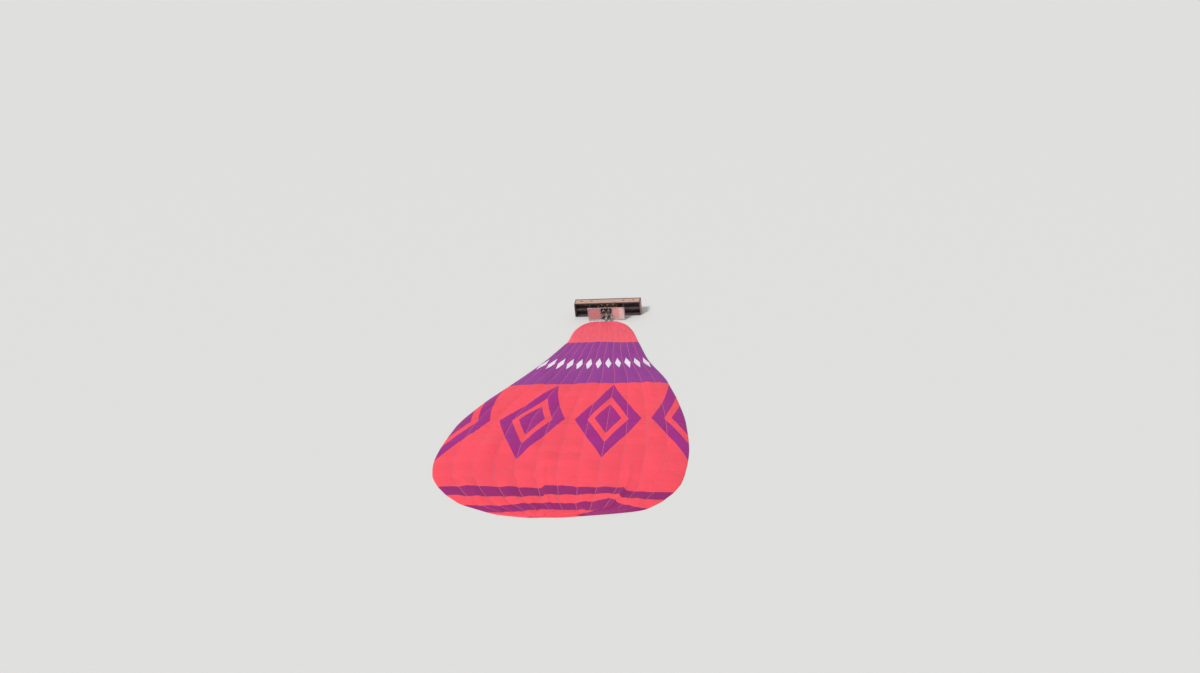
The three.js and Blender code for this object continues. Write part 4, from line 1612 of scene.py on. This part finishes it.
# %% Build the gas cylinders
SHELL = [
    (0.138, 0.000), (0.144, 0.004), (0.144, 0.045), (0.130, 0.052), (0.150, 0.066),
    (0.160, 0.085), (0.166, 0.110), (0.166, 0.396), (0.168, 0.400), (0.168, 0.408),
    (0.166, 0.412), (0.166, 0.735), (0.160, 0.765), (0.147, 0.795), (0.123, 0.822),
    (0.091, 0.842), (0.056, 0.852), (0.030, 0.855), (0.030, 0.868), (0, 0.868),
]
VALVE_BODY = [
    (0.016, 0.868), (0.016, 0.880), (0.022, 0.884), (0.022, 0.904), (0.014, 0.908), (0.009, 0.912),
    (0.009, 0.925), (0.034, 0.927), (0.038, 0.932), (0.038, 0.941), (0.034, 0.946), (0, 0.948),
]
SPOUT = [(0.009, 0.015), (0.009, 0.045), (0.014, 0.046), (0.014, 0.066), (0.010, 0.068), (0, 0.068)]
DIAL = [(0.012, 0.0), (0.026, 0.002), (0.028, 0.006), (0.028, 0.016), (0.024, 0.018), (0, 0.018)]
COLLAR = 0.108            # radius of the guard round the valve
COLLAR_RINGS = [(0.825, 0.865), (0.930, 0.958)]   # heights above the cylinder's foot
COLLAR_POSTS = (0.86, 0.935)
STRAP_HEIGHTS = (0.25, 0.58)
STRAP_HALF = 0.019
MIDDLE_Z = 0.775          # of the basket


def arc_band(centre, radius, y0, y1, turn0, turn1):
    """A curved plate round the Y axis between two heights and two angles."""
    turns = np.linspace(turn0, turn1, max(3, round((turn1 - turn0) / 0.13)))
    x, z = centre[0] + radius * np.cos(turns), centre[2] + radius * np.sin(turns)
    line = np.stack([x, np.full_like(turns, (y0 + y1) / 2), z], -1)
    return swept(line, strip(abs(y1 - y0) / 2, 0.002), up=Y)


def jacket(foot, sides=72, rows=58):
    """A quilted sleeve round a cylinder."""
    h, a = np.meshgrid(np.linspace(0.13, 0.70, rows), np.arange(sides) * math.tau / sides, indexing="ij")
    share = (h - h[0]) / (h[-1] - h[0])
    quilts = np.abs(np.sin(5 * math.pi * share)) * np.abs(np.sin(6 * a))
    radius = 0.168 + (0.002 + 0.006 * quilts ** 0.5) * step_up(np.minimum(share, 1 - share), -0.01, 0.03)
    points = np.stack([foot[0] + radius * np.cos(a), foot[1] - h, foot[2] + radius * np.sin(a)], -1)
    inner = turned([(0.167, 0.70), (0.167, 0.13)], foot, (0, -1, 0), sides)
    return [(points.reshape(-1, 3), grid_faces(rows, sides, closed=True)[:, ::-1]), inner]


def build_cylinder(node):
    low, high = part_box(node)
    foot = ((low.x + high.x) / 2, high.y, (low.z + high.z) / 2)
    down = (0, -1, 0)
    collar = [arc_band(foot, COLLAR, foot[1] - a, foot[1] - b, 0, math.tau) for a, b in COLLAR_RINGS]
    for turn in np.arange(3) * math.tau / 3:
        post = (foot[1] - COLLAR_POSTS[0], foot[1] - COLLAR_POSTS[1])
        collar.append(arc_band(foot, COLLAR, *post, turn, turn + 0.9))
    shell = [turned([(0, 0.02), (0.138, 0.02), (0.138, 0.0)], foot, down, 48), turned(SHELL, foot, down, 48)]
    piece("steel_" + node, shell + collar, cylinder_steel, "cylinder_steel", crisp=38, replaces=[node])
    inward = 1 if foot[2] < MIDDLE_Z else -1
    spout_at = (foot[0], foot[1] - 0.894, foot[2])
    fittings = [turned(VALVE_BODY, foot, down, 20), turned(SPOUT, spout_at, (0, 0, inward), 14)]
    fittings.append(turned(DIAL, (foot[0] + 0.06, foot[1] - 0.849, foot[2]), down, 20))
    piece("valve_" + node, fittings, brass, "burner_steel", crisp=38)
    cover = piece("jacket_" + node, jacket(foot), pad_suede, "rim_hide")
    straps = []
    for h in STRAP_HEIGHTS:
        y0, y1 = foot[1] - h + STRAP_HALF, foot[1] - h - STRAP_HALF
        straps.append(arc_band(foot, 0.177, y0, y1, 0, math.tau))
        near, far = sorted((foot[2] + inward * 0.176, foot[2] + inward * 0.187))
        buckle_low = (foot[0] - 0.022, foot[1] - h - 0.024, near)
        buckle_high = (foot[0] + 0.022, foot[1] - h + 0.024, far)
        straps.append(block(buckle_low, buckle_high))
    piece("straps_" + node, straps, dark_webbing, "rim_hide", crisp=40)


for row, place in itertools.product(("low", "high"), ("left", "middle", "right")):
    build_cylinder(f"gas_cylinder_{row}_{place}")

# %% [markdown]
# ## Load frame
#
# Bent and welded stainless tube. The four corners carry lugs, with a karabiner in each for the
# flying wires. A sweep along a rounded path gives the bent tube, and a turned bead each weld.

# %% Build the frame
TUBE = 0.025
FRAME_CORNER = 0.06
frame_low, frame_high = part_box("load_frame")
FRAME_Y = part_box("heat_shield_left")[0].y + 0.004
TUBE_LOW = (frame_low.x + TUBE, frame_low.z + TUBE)
TUBE_HIGH = (frame_high.x - TUBE, frame_high.z - TUBE)
BAYS = (MIDDLE_X - 0.585, MIDDLE_X + 0.585)   # cross tubes beside the burners
BARS = (MIDDLE_X - 0.27, MIDDLE_X + 0.27)     # burner bars
LUG_X = 1.88
LUGS = [(MIDDLE_X + sign * LUG_X, z) for sign in (-1, 1) for z in (TUBE_LOW[1], TUBE_HIGH[1])]
LUG_HOLE_Y = FRAME_Y - 0.058
WELD = [
    (TUBE * 0.98, 0.0), (TUBE + 0.008, 0.001), (TUBE + 0.007, 0.006), (TUBE + 0.003, 0.011),
    (TUBE * 0.98, 0.014),
]
LUG_HOLE = 0.011
LUG_HALF_THICK = 0.006


def lug_plate(x, z, sides=32):
    """A plate with a hole and rounded ends."""
    turns = np.arange(sides) * math.tau / sides
    c, s = np.cos(turns), np.sin(turns)
    reach_y = np.where(s < 0, 0.022, 0.058)
    out = ((np.abs(c) / 0.04) ** 4 + (np.abs(s) / reach_y) ** 4) ** -0.25
    outline = np.stack([x + out * c, LUG_HOLE_Y + out * s], -1)
    hole = np.stack([x + LUG_HOLE * c, LUG_HOLE_Y + LUG_HOLE * s], -1)
    loops = [(hole, -1), (outline, -1), (outline, 1), (hole, 1), (hole, -1)]
    points = [np.column_stack([loop, np.full(sides, z + side * LUG_HALF_THICK)]) for loop, side in loops]
    return np.vstack(points), grid_faces(len(loops), sides, closed=True)[:, ::-1]


def karabiner(x, y, z):
    """A D-shaped link through a lug's hole, with its gate's sleeve."""
    turns = np.linspace(0, math.tau, 28, endpoint=False)
    wide = 0.024 * (1 + 0.25 * np.sin(turns))
    long = y - 0.046 + 0.046 * np.sin(turns)
    line = np.stack([np.full_like(turns, x), long, z + wide * np.cos(turns)], -1)
    sleeve = swept(np.vstack([line[-3:], line[:3]]), ring(0.0075, 12), up=X)
    return [swept(line, ring(0.005, 8), up=X, closed=True), sleeve]


def build_load_frame():
    line = rounded(TUBE_LOW, TUBE_HIGH, FRAME_CORNER, FRAME_Y, 8)
    round_tube = ring(TUBE, 20)
    shapes = [swept(resampled(line, 0.02, closed=True), round_tube, up=Y, closed=True)]
    for x in BAYS:
        shapes.append(swept([(x, FRAME_Y, TUBE_LOW[1]), (x, FRAME_Y, TUBE_HIGH[1])], round_tube, up=Y))
        shapes.append(turned(WELD, (x, FRAME_Y, TUBE_LOW[1] + TUBE), Z, 20))
        shapes.append(turned(WELD, (x, FRAME_Y, TUBE_HIGH[1] - TUBE), -Z, 20))
    boss = [(0.030, 0.0), (0.030, 0.041), (0.027, 0.045), (0.0145, 0.045)]
    for x in BARS:
        shapes.append(turned(boss, (x, FRAME_Y, TUBE_LOW[1]), Z, 24))
        shapes.append(turned(boss, (x, FRAME_Y, TUBE_HIGH[1]), -Z, 24))
    shapes += [lug_plate(x, z) for x, z in LUGS]
    piece("steel_load_frame", shapes, frame_steel, "frame_steel", crisp=40, replaces=["load_frame"])
    links = [shape for x, z in LUGS for shape in karabiner(x, LUG_HOLE_Y, z)]
    piece("karabiners", links, cylinder_steel, "frame_steel", crisp=50)


build_load_frame()

# %% [markdown]
# ### Heat shields
#
# Flame-proof cloth is laced into the frame on both sides of the burners, through brass eyelets.
# It isn't drum tight: it scallops between the eyelets and sags a little. The edges are drawn
# by a rule, because the lacing sets them, and the cloth solver then finds the sag. The right
# shield has an outer part of another colour; both are settled as one cloth and then cut.

# %% Build the heat shields
SHIELD_INSET = 0.03
SHIELD_CELL = 0.02
SCALLOP = 0.006
EYELET_INSET = 0.018
SHIELD_THICK = 0.0015
SHIELD_SLACK = 0.012      # cut 1.2 percent larger than the frame
EYELET_STEP = 0.12
EYELET = [(0.006, -0.002), (0.011, -0.0015), (0.012, 0.0), (0.011, 0.0015), (0.006, 0.002), (0.006, -0.002)]


def shield_grid(x0, x1, z0, z1):
    """Cloth pulled toward its lacing, so its edges scallop between the eyelets."""
    columns, lines = (round(side / SHIELD_CELL) + 1 for side in (x1 - x0, z1 - z0))
    s, r = np.meshgrid(np.linspace(0, 1, columns), np.linspace(0, 1, lines), indexing="ij")
    x, z = x0 + (x1 - x0) * s, z0 + (z1 - z0) * r
    pull_x = SCALLOP * (2 * s - 1) ** 9 * np.abs(np.sin(math.pi * z / EYELET_STEP)) ** 1.5
    pull_z = SCALLOP * (2 * r - 1) ** 9 * np.abs(np.sin(math.pi * x / EYELET_STEP)) ** 1.5
    y = FRAME_Y + 0.004 * ripples(x, z, 0.4, 31) * np.sin(math.pi * r) * np.sin(math.pi * s)
    return np.stack([x - pull_x, y, z - pull_z], -1)


def eyelet_places(x0, x1, z0, z1):
    """Places of the eyelets, and the way from each to its tube."""
    inset, places = EYELET_INSET, []
    for x in np.linspace(x0 + 0.03, x1 - 0.03, max(2, round((x1 - x0) / EYELET_STEP))):
        places += [((x, z0 + inset), (0, -1)), ((x, z1 - inset), (0, 1))]
    for z in np.linspace(z0 + 0.09, z1 - 0.09, round((z1 - z0) / EYELET_STEP)):
        places += [((x0 + inset, z), (-1, 0)), ((x1 - inset, z), (1, 0))]
    return places


def lacing_loop(place, way):
    """A loop of cord from an eyelet round the tube beside it."""
    (x, z), (wx, wz) = place, way
    turns = np.linspace(-1.9, 1.9, 15)
    round_tube = TUBE + 0.003
    forward = np.append(SHIELD_INSET + EYELET_INSET + TUBE + round_tube * np.cos(turns), [0, 0])
    aside = np.append(round_tube * np.sin(turns), [0.003, -0.003])
    line = np.stack([x + wx * forward, FRAME_Y + aside, z + wz * forward], -1)
    return swept(line, ring(0.0028, 6), up=(wz, 0, wx), closed=True)


def shield_piece(node, grid, material, slot):
    """A finished shield, or a part of one: the sheet with its thickness, and its rolled hem."""
    edge = np.vstack([grid[:, 0], grid[-1, 1:], grid[-2::-1, -1], grid[0, -2:0:-1]])
    trim = piece("hem_" + node, [swept(edge, ring(0.005, 8), up=Y, closed=True)], material, slot)
    sheet = piece("cloth_" + node, [surface(grid)], material, slot, replaces=[node])
    sheet.modifiers.new("cloth thickness", "SOLIDIFY").thickness = SHIELD_THICK


def build_shields():
    z0, z1 = TUBE_LOW[1] + TUBE + SHIELD_INSET, TUBE_HIGH[1] - TUBE - SHIELD_INSET
    inset = TUBE + SHIELD_INSET
    spans = [(TUBE_LOW[0] + inset, BAYS[0] - inset), (BAYS[1] + inset, TUBE_HIGH[0] - inset)]
    jobs, grids, eyelets, loops = [], [], [], []
    for x0, x1 in spans:
        grid = shield_grid(x0, x1, z0, z1)
        flat = grid.reshape(-1, 3)[:, [0, 2]]
        held = []
        for place, way in eyelet_places(x0, x1, z0, z1):
            held.append(np.linalg.norm(flat - place, axis=1).argmin())
            eyelets.append(turned(EYELET, (place[0], FRAME_Y, place[1]), Y, 16))
            loops.append(lacing_loop(place, way))
        points, faces = surface(grid)
        jobs.append(dict(
            points=points, faces=faces, held=held,
            slack=SHIELD_SLACK, pressure=0.0, gravity=1.0, bending=2.0, most=0.03,
        ))
        grids.append(grid)
    left, right = (points.reshape(grid.shape) for points, grid in zip(settled(jobs), grids))
    seam = np.abs(grids[1][:, 0, 0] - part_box("heat_shield_right_outer")[0].x).argmin()
    shield_piece("heat_shield_left", left, salmon_cloth, "salmon_cloth")
    shield_piece("heat_shield_right", right[:seam + 1], pale_salmon_cloth, "salmon_cloth")
    shield_piece("heat_shield_right_outer", right[seam:], cream_cloth, "cream_cloth")
    piece("shield_eyelets", eyelets, brass, "burner_steel", crisp=50)
    piece("shield_lacing", loops, lacing_cord, "rim_hide")


build_shields()

# %% [markdown]
# ### Padded poles
#
# Four poles hold the frame off the rim. Foam and a zipped suede cover go round each, drawn in
# by straps. The solver swells the cover between its straps under a slight pressure, which
# gives the soft, uneven bulges that a plain tube lacks.

# %% Build the poles' covers
STRAPS = 8                # spans between straps, on each pole
COVER_STEP = 0.01
COVER_RADIUS = 0.030
COVER_SIDES = 20
SEAT = 0.04               # how far a pole reaches into the rim
ZIP_SIDE = 0.0265
STRAP_SECTION = [(0.0255, -0.008), (0.027, -0.008), (0.027, 0.008), (0.0255, 0.008)]


def build_poles():
    nodes = ["pole_low_left", "pole_low_right", "pole_high_left", "pole_high_right"]
    jobs, lines = [], []
    for node in nodes:
        low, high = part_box(node)
        x = (low.x + high.x) / 2
        ends = (SEAT, TUBE_LOW[1]) if "low" in node else (rim_box[1].z - SEAT, TUBE_HIGH[1])
        line = resampled([(x, high.y, ends[0]), (x, low.y, ends[1])], COVER_STEP)
        run = np.linspace(0, 1, len(line))
        beside = np.abs((run * STRAPS + 0.5) % 1 - 0.5) / STRAPS * 0.93
        swell = 0.80 + 0.06 * step_up(beside, 0.006, 0.04)
        section = ring(COVER_RADIUS, COVER_SIDES)[None] * swell[:, None, None]
        points, faces = swept(line, section, up=X)
        strapped = np.repeat(beside < 0.008, COVER_SIDES)
        jobs.append(dict(
            points=points, faces=faces, held=np.flatnonzero(strapped),
            slack=0.02, pressure=6.0, gravity=0.0, bending=0.5, most=0.005,
        ))
        lines.append(line)
    straps = []
    for node, job, points, line in zip(nodes, jobs, settled(jobs), lines):
        shape = (points, job["faces"])
        cover = piece("cover_" + node, [shape], pole_suede, "pole_cover", crisp=60, replaces=[node])
        side = ZIP_SIDE if line[0, 0] < MIDDLE_X else -ZIP_SIDE
        teeth = swept(line[3:-3] + (side, 0, 0), strip(0.003, 0.0015))
        piece("zip_" + node, [teeth], frame_steel, "frame_steel")
        along = line[-1] - line[0]
        along = along / np.linalg.norm(along)
        for share in np.arange(1, STRAPS) / STRAPS:
            middle = line[round(share * (len(line) - 1))]
            straps.append(turned(STRAP_SECTION, middle, along, 20))
    piece("pole_straps", straps, dark_webbing, "pole_cover", crisp=50)


build_poles()

# %% [markdown]
# ## Burners
#
# Liquid gas runs through a coil inside the can, is heated by its own flame, and burns from a
# ring of jets at the coil's foot. The cans are rolled from thin stainless sheet, with slots
# near the foot for air. Heat tints the steel: straw, then bronze, then blue toward the jets.

# %% The burner cans
CAN_OUTER, CAN_INNER = 0.168, 0.160
CAN_LIP = 0.164
CAN_BEADS = (0.22, 0.8)   # share of the height
BEAD = 0.003
COIL_RADIUS, COIL_PITCH, COIL_PIPE = 0.118, 0.031, 0.008
JET_RING, JETS = 0.072, 16
NOZZLE = [(0.005, 0.004), (0.0045, 0.014), (0.0025, 0.017), (0, 0.017)]
PILOT = [(0.016, 0.0), (0.016, 0.05), (0.013, 0.053), (0.010, 0.053), (0.010, 0.02), (0, 0.02)]
UPWARD = (0, -1, 0)       # from the bars to the cans' mouths


def can_shell(x, y0, y1, z, sides=96, rows=33):
    """The outer sheet of a can, with a row of air slots near its foot."""
    d, a = np.meshgrid(np.linspace(y0, y1, rows), np.arange(sides) * math.tau / sides, indexing="ij")
    radius = np.full_like(d, CAN_OUTER)
    share = (d - y0) / (y1 - y0)
    for place in CAN_BEADS:
        radius = radius + BEAD * np.exp(-((share - place) / 0.016) ** 2)
    points = np.stack([x + radius * np.cos(a), d, z + radius * np.sin(a)], -1)
    faces = grid_faces(rows, sides, closed=True)[:, ::-1]
    row, column = np.divmod(np.arange(len(faces)), sides)
    slots = (row >= 3) & (row < 5) & (column % 6 < 3)
    return points.reshape(-1, 3), faces[~slots]


def burner_coil(x, foot, mouth, z):
    """The coil, its pipe through the can's foot, the ring of jets and the pilot."""
    path = [(x, foot - 0.07, z), (x, mouth + 0.045, z)]
    coil = wound(path, (COIL_RADIUS, COIL_RADIUS), COIL_PITCH, up=Z, steps=28)
    start_x, start_z = coil[0][0], coil[0][2]
    pipe = [coil[0], (start_x, foot - 0.03, start_z), (start_x, foot - 0.004, start_z)]
    shapes = [swept(coil, ring(COIL_PIPE, 10), up=Y), swept(pipe, ring(COIL_PIPE, 10), up=X)]
    jets_y = foot - 0.045
    jet_ring = circle((x, jets_y, z), JET_RING, 72)
    shapes.append(swept(jet_ring, ring(0.009, 10), up=Y, closed=True))
    for turn in np.arange(JETS) * math.tau / JETS:
        jet = (x + JET_RING * math.cos(turn), jets_y, z + JET_RING * math.sin(turn))
        shapes.append(turned(NOZZLE, jet, UPWARD, 8))
    for turn in (0.4, 0.4 + math.pi):
        feed_x, feed_z = x + JET_RING * math.cos(turn), z + JET_RING * math.sin(turn)
        shapes.append(swept([(feed_x, foot, feed_z), (feed_x, jets_y, feed_z)], ring(0.006, 8), up=X))
    return shapes + [turned(PILOT, (x, foot, z), UPWARD, 20)]


def build_can(side, row):
    node = f"burner_can_{row}_{side}"
    finish = burner_steel, "burner_steel", "burners_" + side
    low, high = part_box(node)
    x, z = (low.x + high.x) / 2, (low.z + high.z) / 2
    foot, mouth = high.y, low.y
    shell = piece("shell_" + node, [can_shell(x, foot, mouth + 0.006, z)], *finish)
    shell.modifiers.new("sheet", "SOLIDIFY").thickness = 0.0015
    lip = swept(circle((x, mouth + 0.006, z), CAN_LIP, 72), ring(0.006, 10), up=Y, closed=True)
    liner = turned([(CAN_INNER, foot - mouth - 0.006), (CAN_INNER, 0.0)], (x, foot, z), UPWARD, 64)
    hoop = [(0.166, 0.0), (0.166, 0.012), (CAN_INNER, 0.012), (CAN_INNER, 0.0)]
    base = turned(hoop, (x, foot, z), UPWARD, 48)
    piece("can_" + node, [liner, base, lip], *finish, crisp=45, replaces=[node])
    coil = burner_coil(x, foot, mouth, z)
    piece("coil_" + node, coil, coil_steel, *finish[1:], crisp=45)


# %% The burner bars
BAR_HALF = 0.045
BAR_REACH = 0.575         # from the middle to each end
BURNER_Z = 0.3            # from the bar's middle to each burner
FUEL_PIPE = 0.058         # below the bar's middle line
PLATE = [
    (0, 0.0), (0.10, 0.0), (0.168, 0.002), (0.175, 0.004), (0.175, 0.015), (0.172, 0.017), (0, 0.017),
]
PLUG = [(0.022, 0.0), (0.022, 0.006), (0.018, 0.008), (0, 0.008)]
NUT = [(0.019, 0.0), (0.019, 0.03), (0.014, 0.032), (0.014, 0.02)]
GRIP = [
    (0.006, 0.0), (0.0095, 0.004), (0.0085, 0.016), (0.0095, 0.028), (0.0085, 0.038),
    (0.005, 0.041), (0, 0.041),
]


def pin(length):
    """The profile of a pivot pin with a broken edge."""
    return [(0.014, 0.0), (0.014, length - 0.002), (0.012, length), (0, length)]


def build_bar(side, x):
    node, body = "burner_bar_" + side, "burners_" + side
    low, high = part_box(node)
    z_mid = (low.z + high.z) / 2
    bar_low, bar_high = z_mid - BAR_REACH, z_mid + BAR_REACH
    beam = block(
        (x - BAR_HALF, FRAME_Y - BAR_HALF, bar_low), (x + BAR_HALF, FRAME_Y + BAR_HALF, bar_high),
    )
    bar = piece(
        "beam_" + node, [beam], burner_paint, "burner_dark", body, crisp=30, replaces=[node],
    )
    soften(bar, 0.005, 3)
    pipe = [(x, FRAME_Y + FUEL_PIPE, bar_low), (x, FRAME_Y + FUEL_PIPE, bar_high)]
    metal = [
        turned(pin(high.z - bar_high), (x, FRAME_Y, bar_high), Z, 20),
        turned(pin(bar_low - low.z), (x, FRAME_Y, bar_low), -Z, 20),
        swept(pipe, ring(0.013, 14), up=X),
    ]
    blocks, grips = [], []
    for z in (z_mid - BURNER_Z, z_mid + BURNER_Z):
        metal.append(turned(PLATE, (x, FRAME_Y - BAR_HALF + 0.002, z), UPWARD, 64))
        block_low = (x - 0.038, FRAME_Y + BAR_HALF - 0.002, z - 0.055)
        blocks.append(block(block_low, (x + 0.038, FRAME_Y + 0.113, z + 0.055)))
        for way in (-1, 1):
            metal.append(turned(PLUG, (x + way * 0.036, FRAME_Y + 0.08, z), (way, 0, 0), 18))
            metal.append(turned(NUT, (x, FRAME_Y + FUEL_PIPE, z + way * 0.052), (0, 0, way), 6))
        root = Vector((x, FRAME_Y + 0.106, z))
        tip = Vector((x, FRAME_Y + 0.163, z + 0.058))
        metal.append(swept([root, root.lerp(tip, 0.5)], ring(0.006, 10), up=X))
        grips.append(turned(GRIP, root.lerp(tip, 0.5), (tip - root).normalized(), 14))
    metal.append(turned(DIAL, (x + 0.02, FRAME_Y + BAR_HALF, z_mid), Y, 24))
    piece("steel_" + node, metal, burner_steel, "burner_steel", body, crisp=38)
    valves = piece("valves_" + node, blocks, burner_paint, "burner_dark", body, crisp=30)
    soften(valves, 0.004, 3)
    piece("grips_" + node, grips, grip_red, "burner_dark", body, crisp=50)


for side, x in zip(("left", "right"), BARS):
    build_bar(side, x)
    for row in ("low", "high"):
        build_can(side, row)

# %% [markdown]
# ## Stays and flying wires
#
# Steel wires join the frame to the cloth's mouth. Laid out, they are drawn straight from the
# karabiners to the hem. Each ends in a pressed ferrule.

# %% Wires with their ferrules
WIRE = 0.003
STAY = 0.005
WIRE_FEET = [0.38, 0.58, 0.9]     # share of the half width, for each corner
FERRULE = [(0.0035, 0.0), (0.006, 0.003), (0.006, 0.03), (0.0035, 0.033)]


def wire(start, end, radius):
    """A taut wire and the ferrule at each of its ends."""
    start, end = Vector(start), Vector(end)
    along = (end - start).normalized()
    up = (0, 0, 1) if abs(along.z) < 0.9 else (1, 0, 0)
    ferrule = [(r * radius / WIRE, d) for r, d in FERRULE]
    return [
        swept([start, end], ring(radius, 8), up=up),
        turned(ferrule, start + along * 0.01, along, 10),
        turned(ferrule, end - along * 0.045, along, 10),
    ]


# %% Build the stays and the wires
STRAP_LENGTH = 0.7
THIMBLE = [(0.004, -0.01), (0.011, -0.006), (0.012, 0), (0.011, 0.006), (0.004, 0.01)]


def foot_strap(foot):
    """Webbing from a stay's foot to the load tape beside it."""
    t = RIM_Y - foot[1] + np.linspace(-0.03, STRAP_LENGTH, 25)[:, None]
    width = (left_at(t) + right_at(t)) / GORES
    first = (foot[0] - MIDDLE_X + left_at(t[0])) / width[0]
    middle = first + (np.round(first) - first) * step_up(t, t[0], t[-1])
    grid = upper_points(middle + np.array([[-0.5, 0, 0.5]]) * TAPE_WIDTH / width, np.repeat(t, 3, 1))
    grid[..., 2] += 1.5 * TAPE_LIFT
    return surface(grid)


def build_stays():
    straps = []
    for node, sign in (("stay_left", -1), ("stay_right", 1)):
        low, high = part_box(node)
        head = (MIDDLE_X + sign * LUG_X, high.y - 0.012, high.z - 0.012)
        foot_x = high.x - 0.012 if sign < 0 else low.x + 0.012
        foot = (foot_x, low.y + 0.012, low.z + 0.012)
        shapes = wire(head, foot, STAY) + [turned(THIMBLE, foot, Z, 20)]
        piece("wire_" + node, shapes, frame_steel, "stay_wire", crisp=50, replaces=[node])
        straps.append(foot_strap(foot))
    piece("stay_straps", straps, tape_webbing, "coral_cloth")


def build_wires():
    shapes = []
    for x, z in LUGS:
        sign = 1 if x > MIDDLE_X else -1
        for share in WIRE_FEET:
            gore = GORES / 2 * (1 + sign * share)
            foot = upper_points(np.array([gore]), np.array([MOUTH_T + 0.02]))[0]
            if z < 0.5:
                foot = np.array([foot[0], foot[1], 0.02])
            shapes += wire((x, LUG_HOLE_Y - 0.09, z), foot, WIRE)
    piece("flying_wires", shapes, frame_steel, "stay_wire", crisp=50)


build_stays()
build_wires()
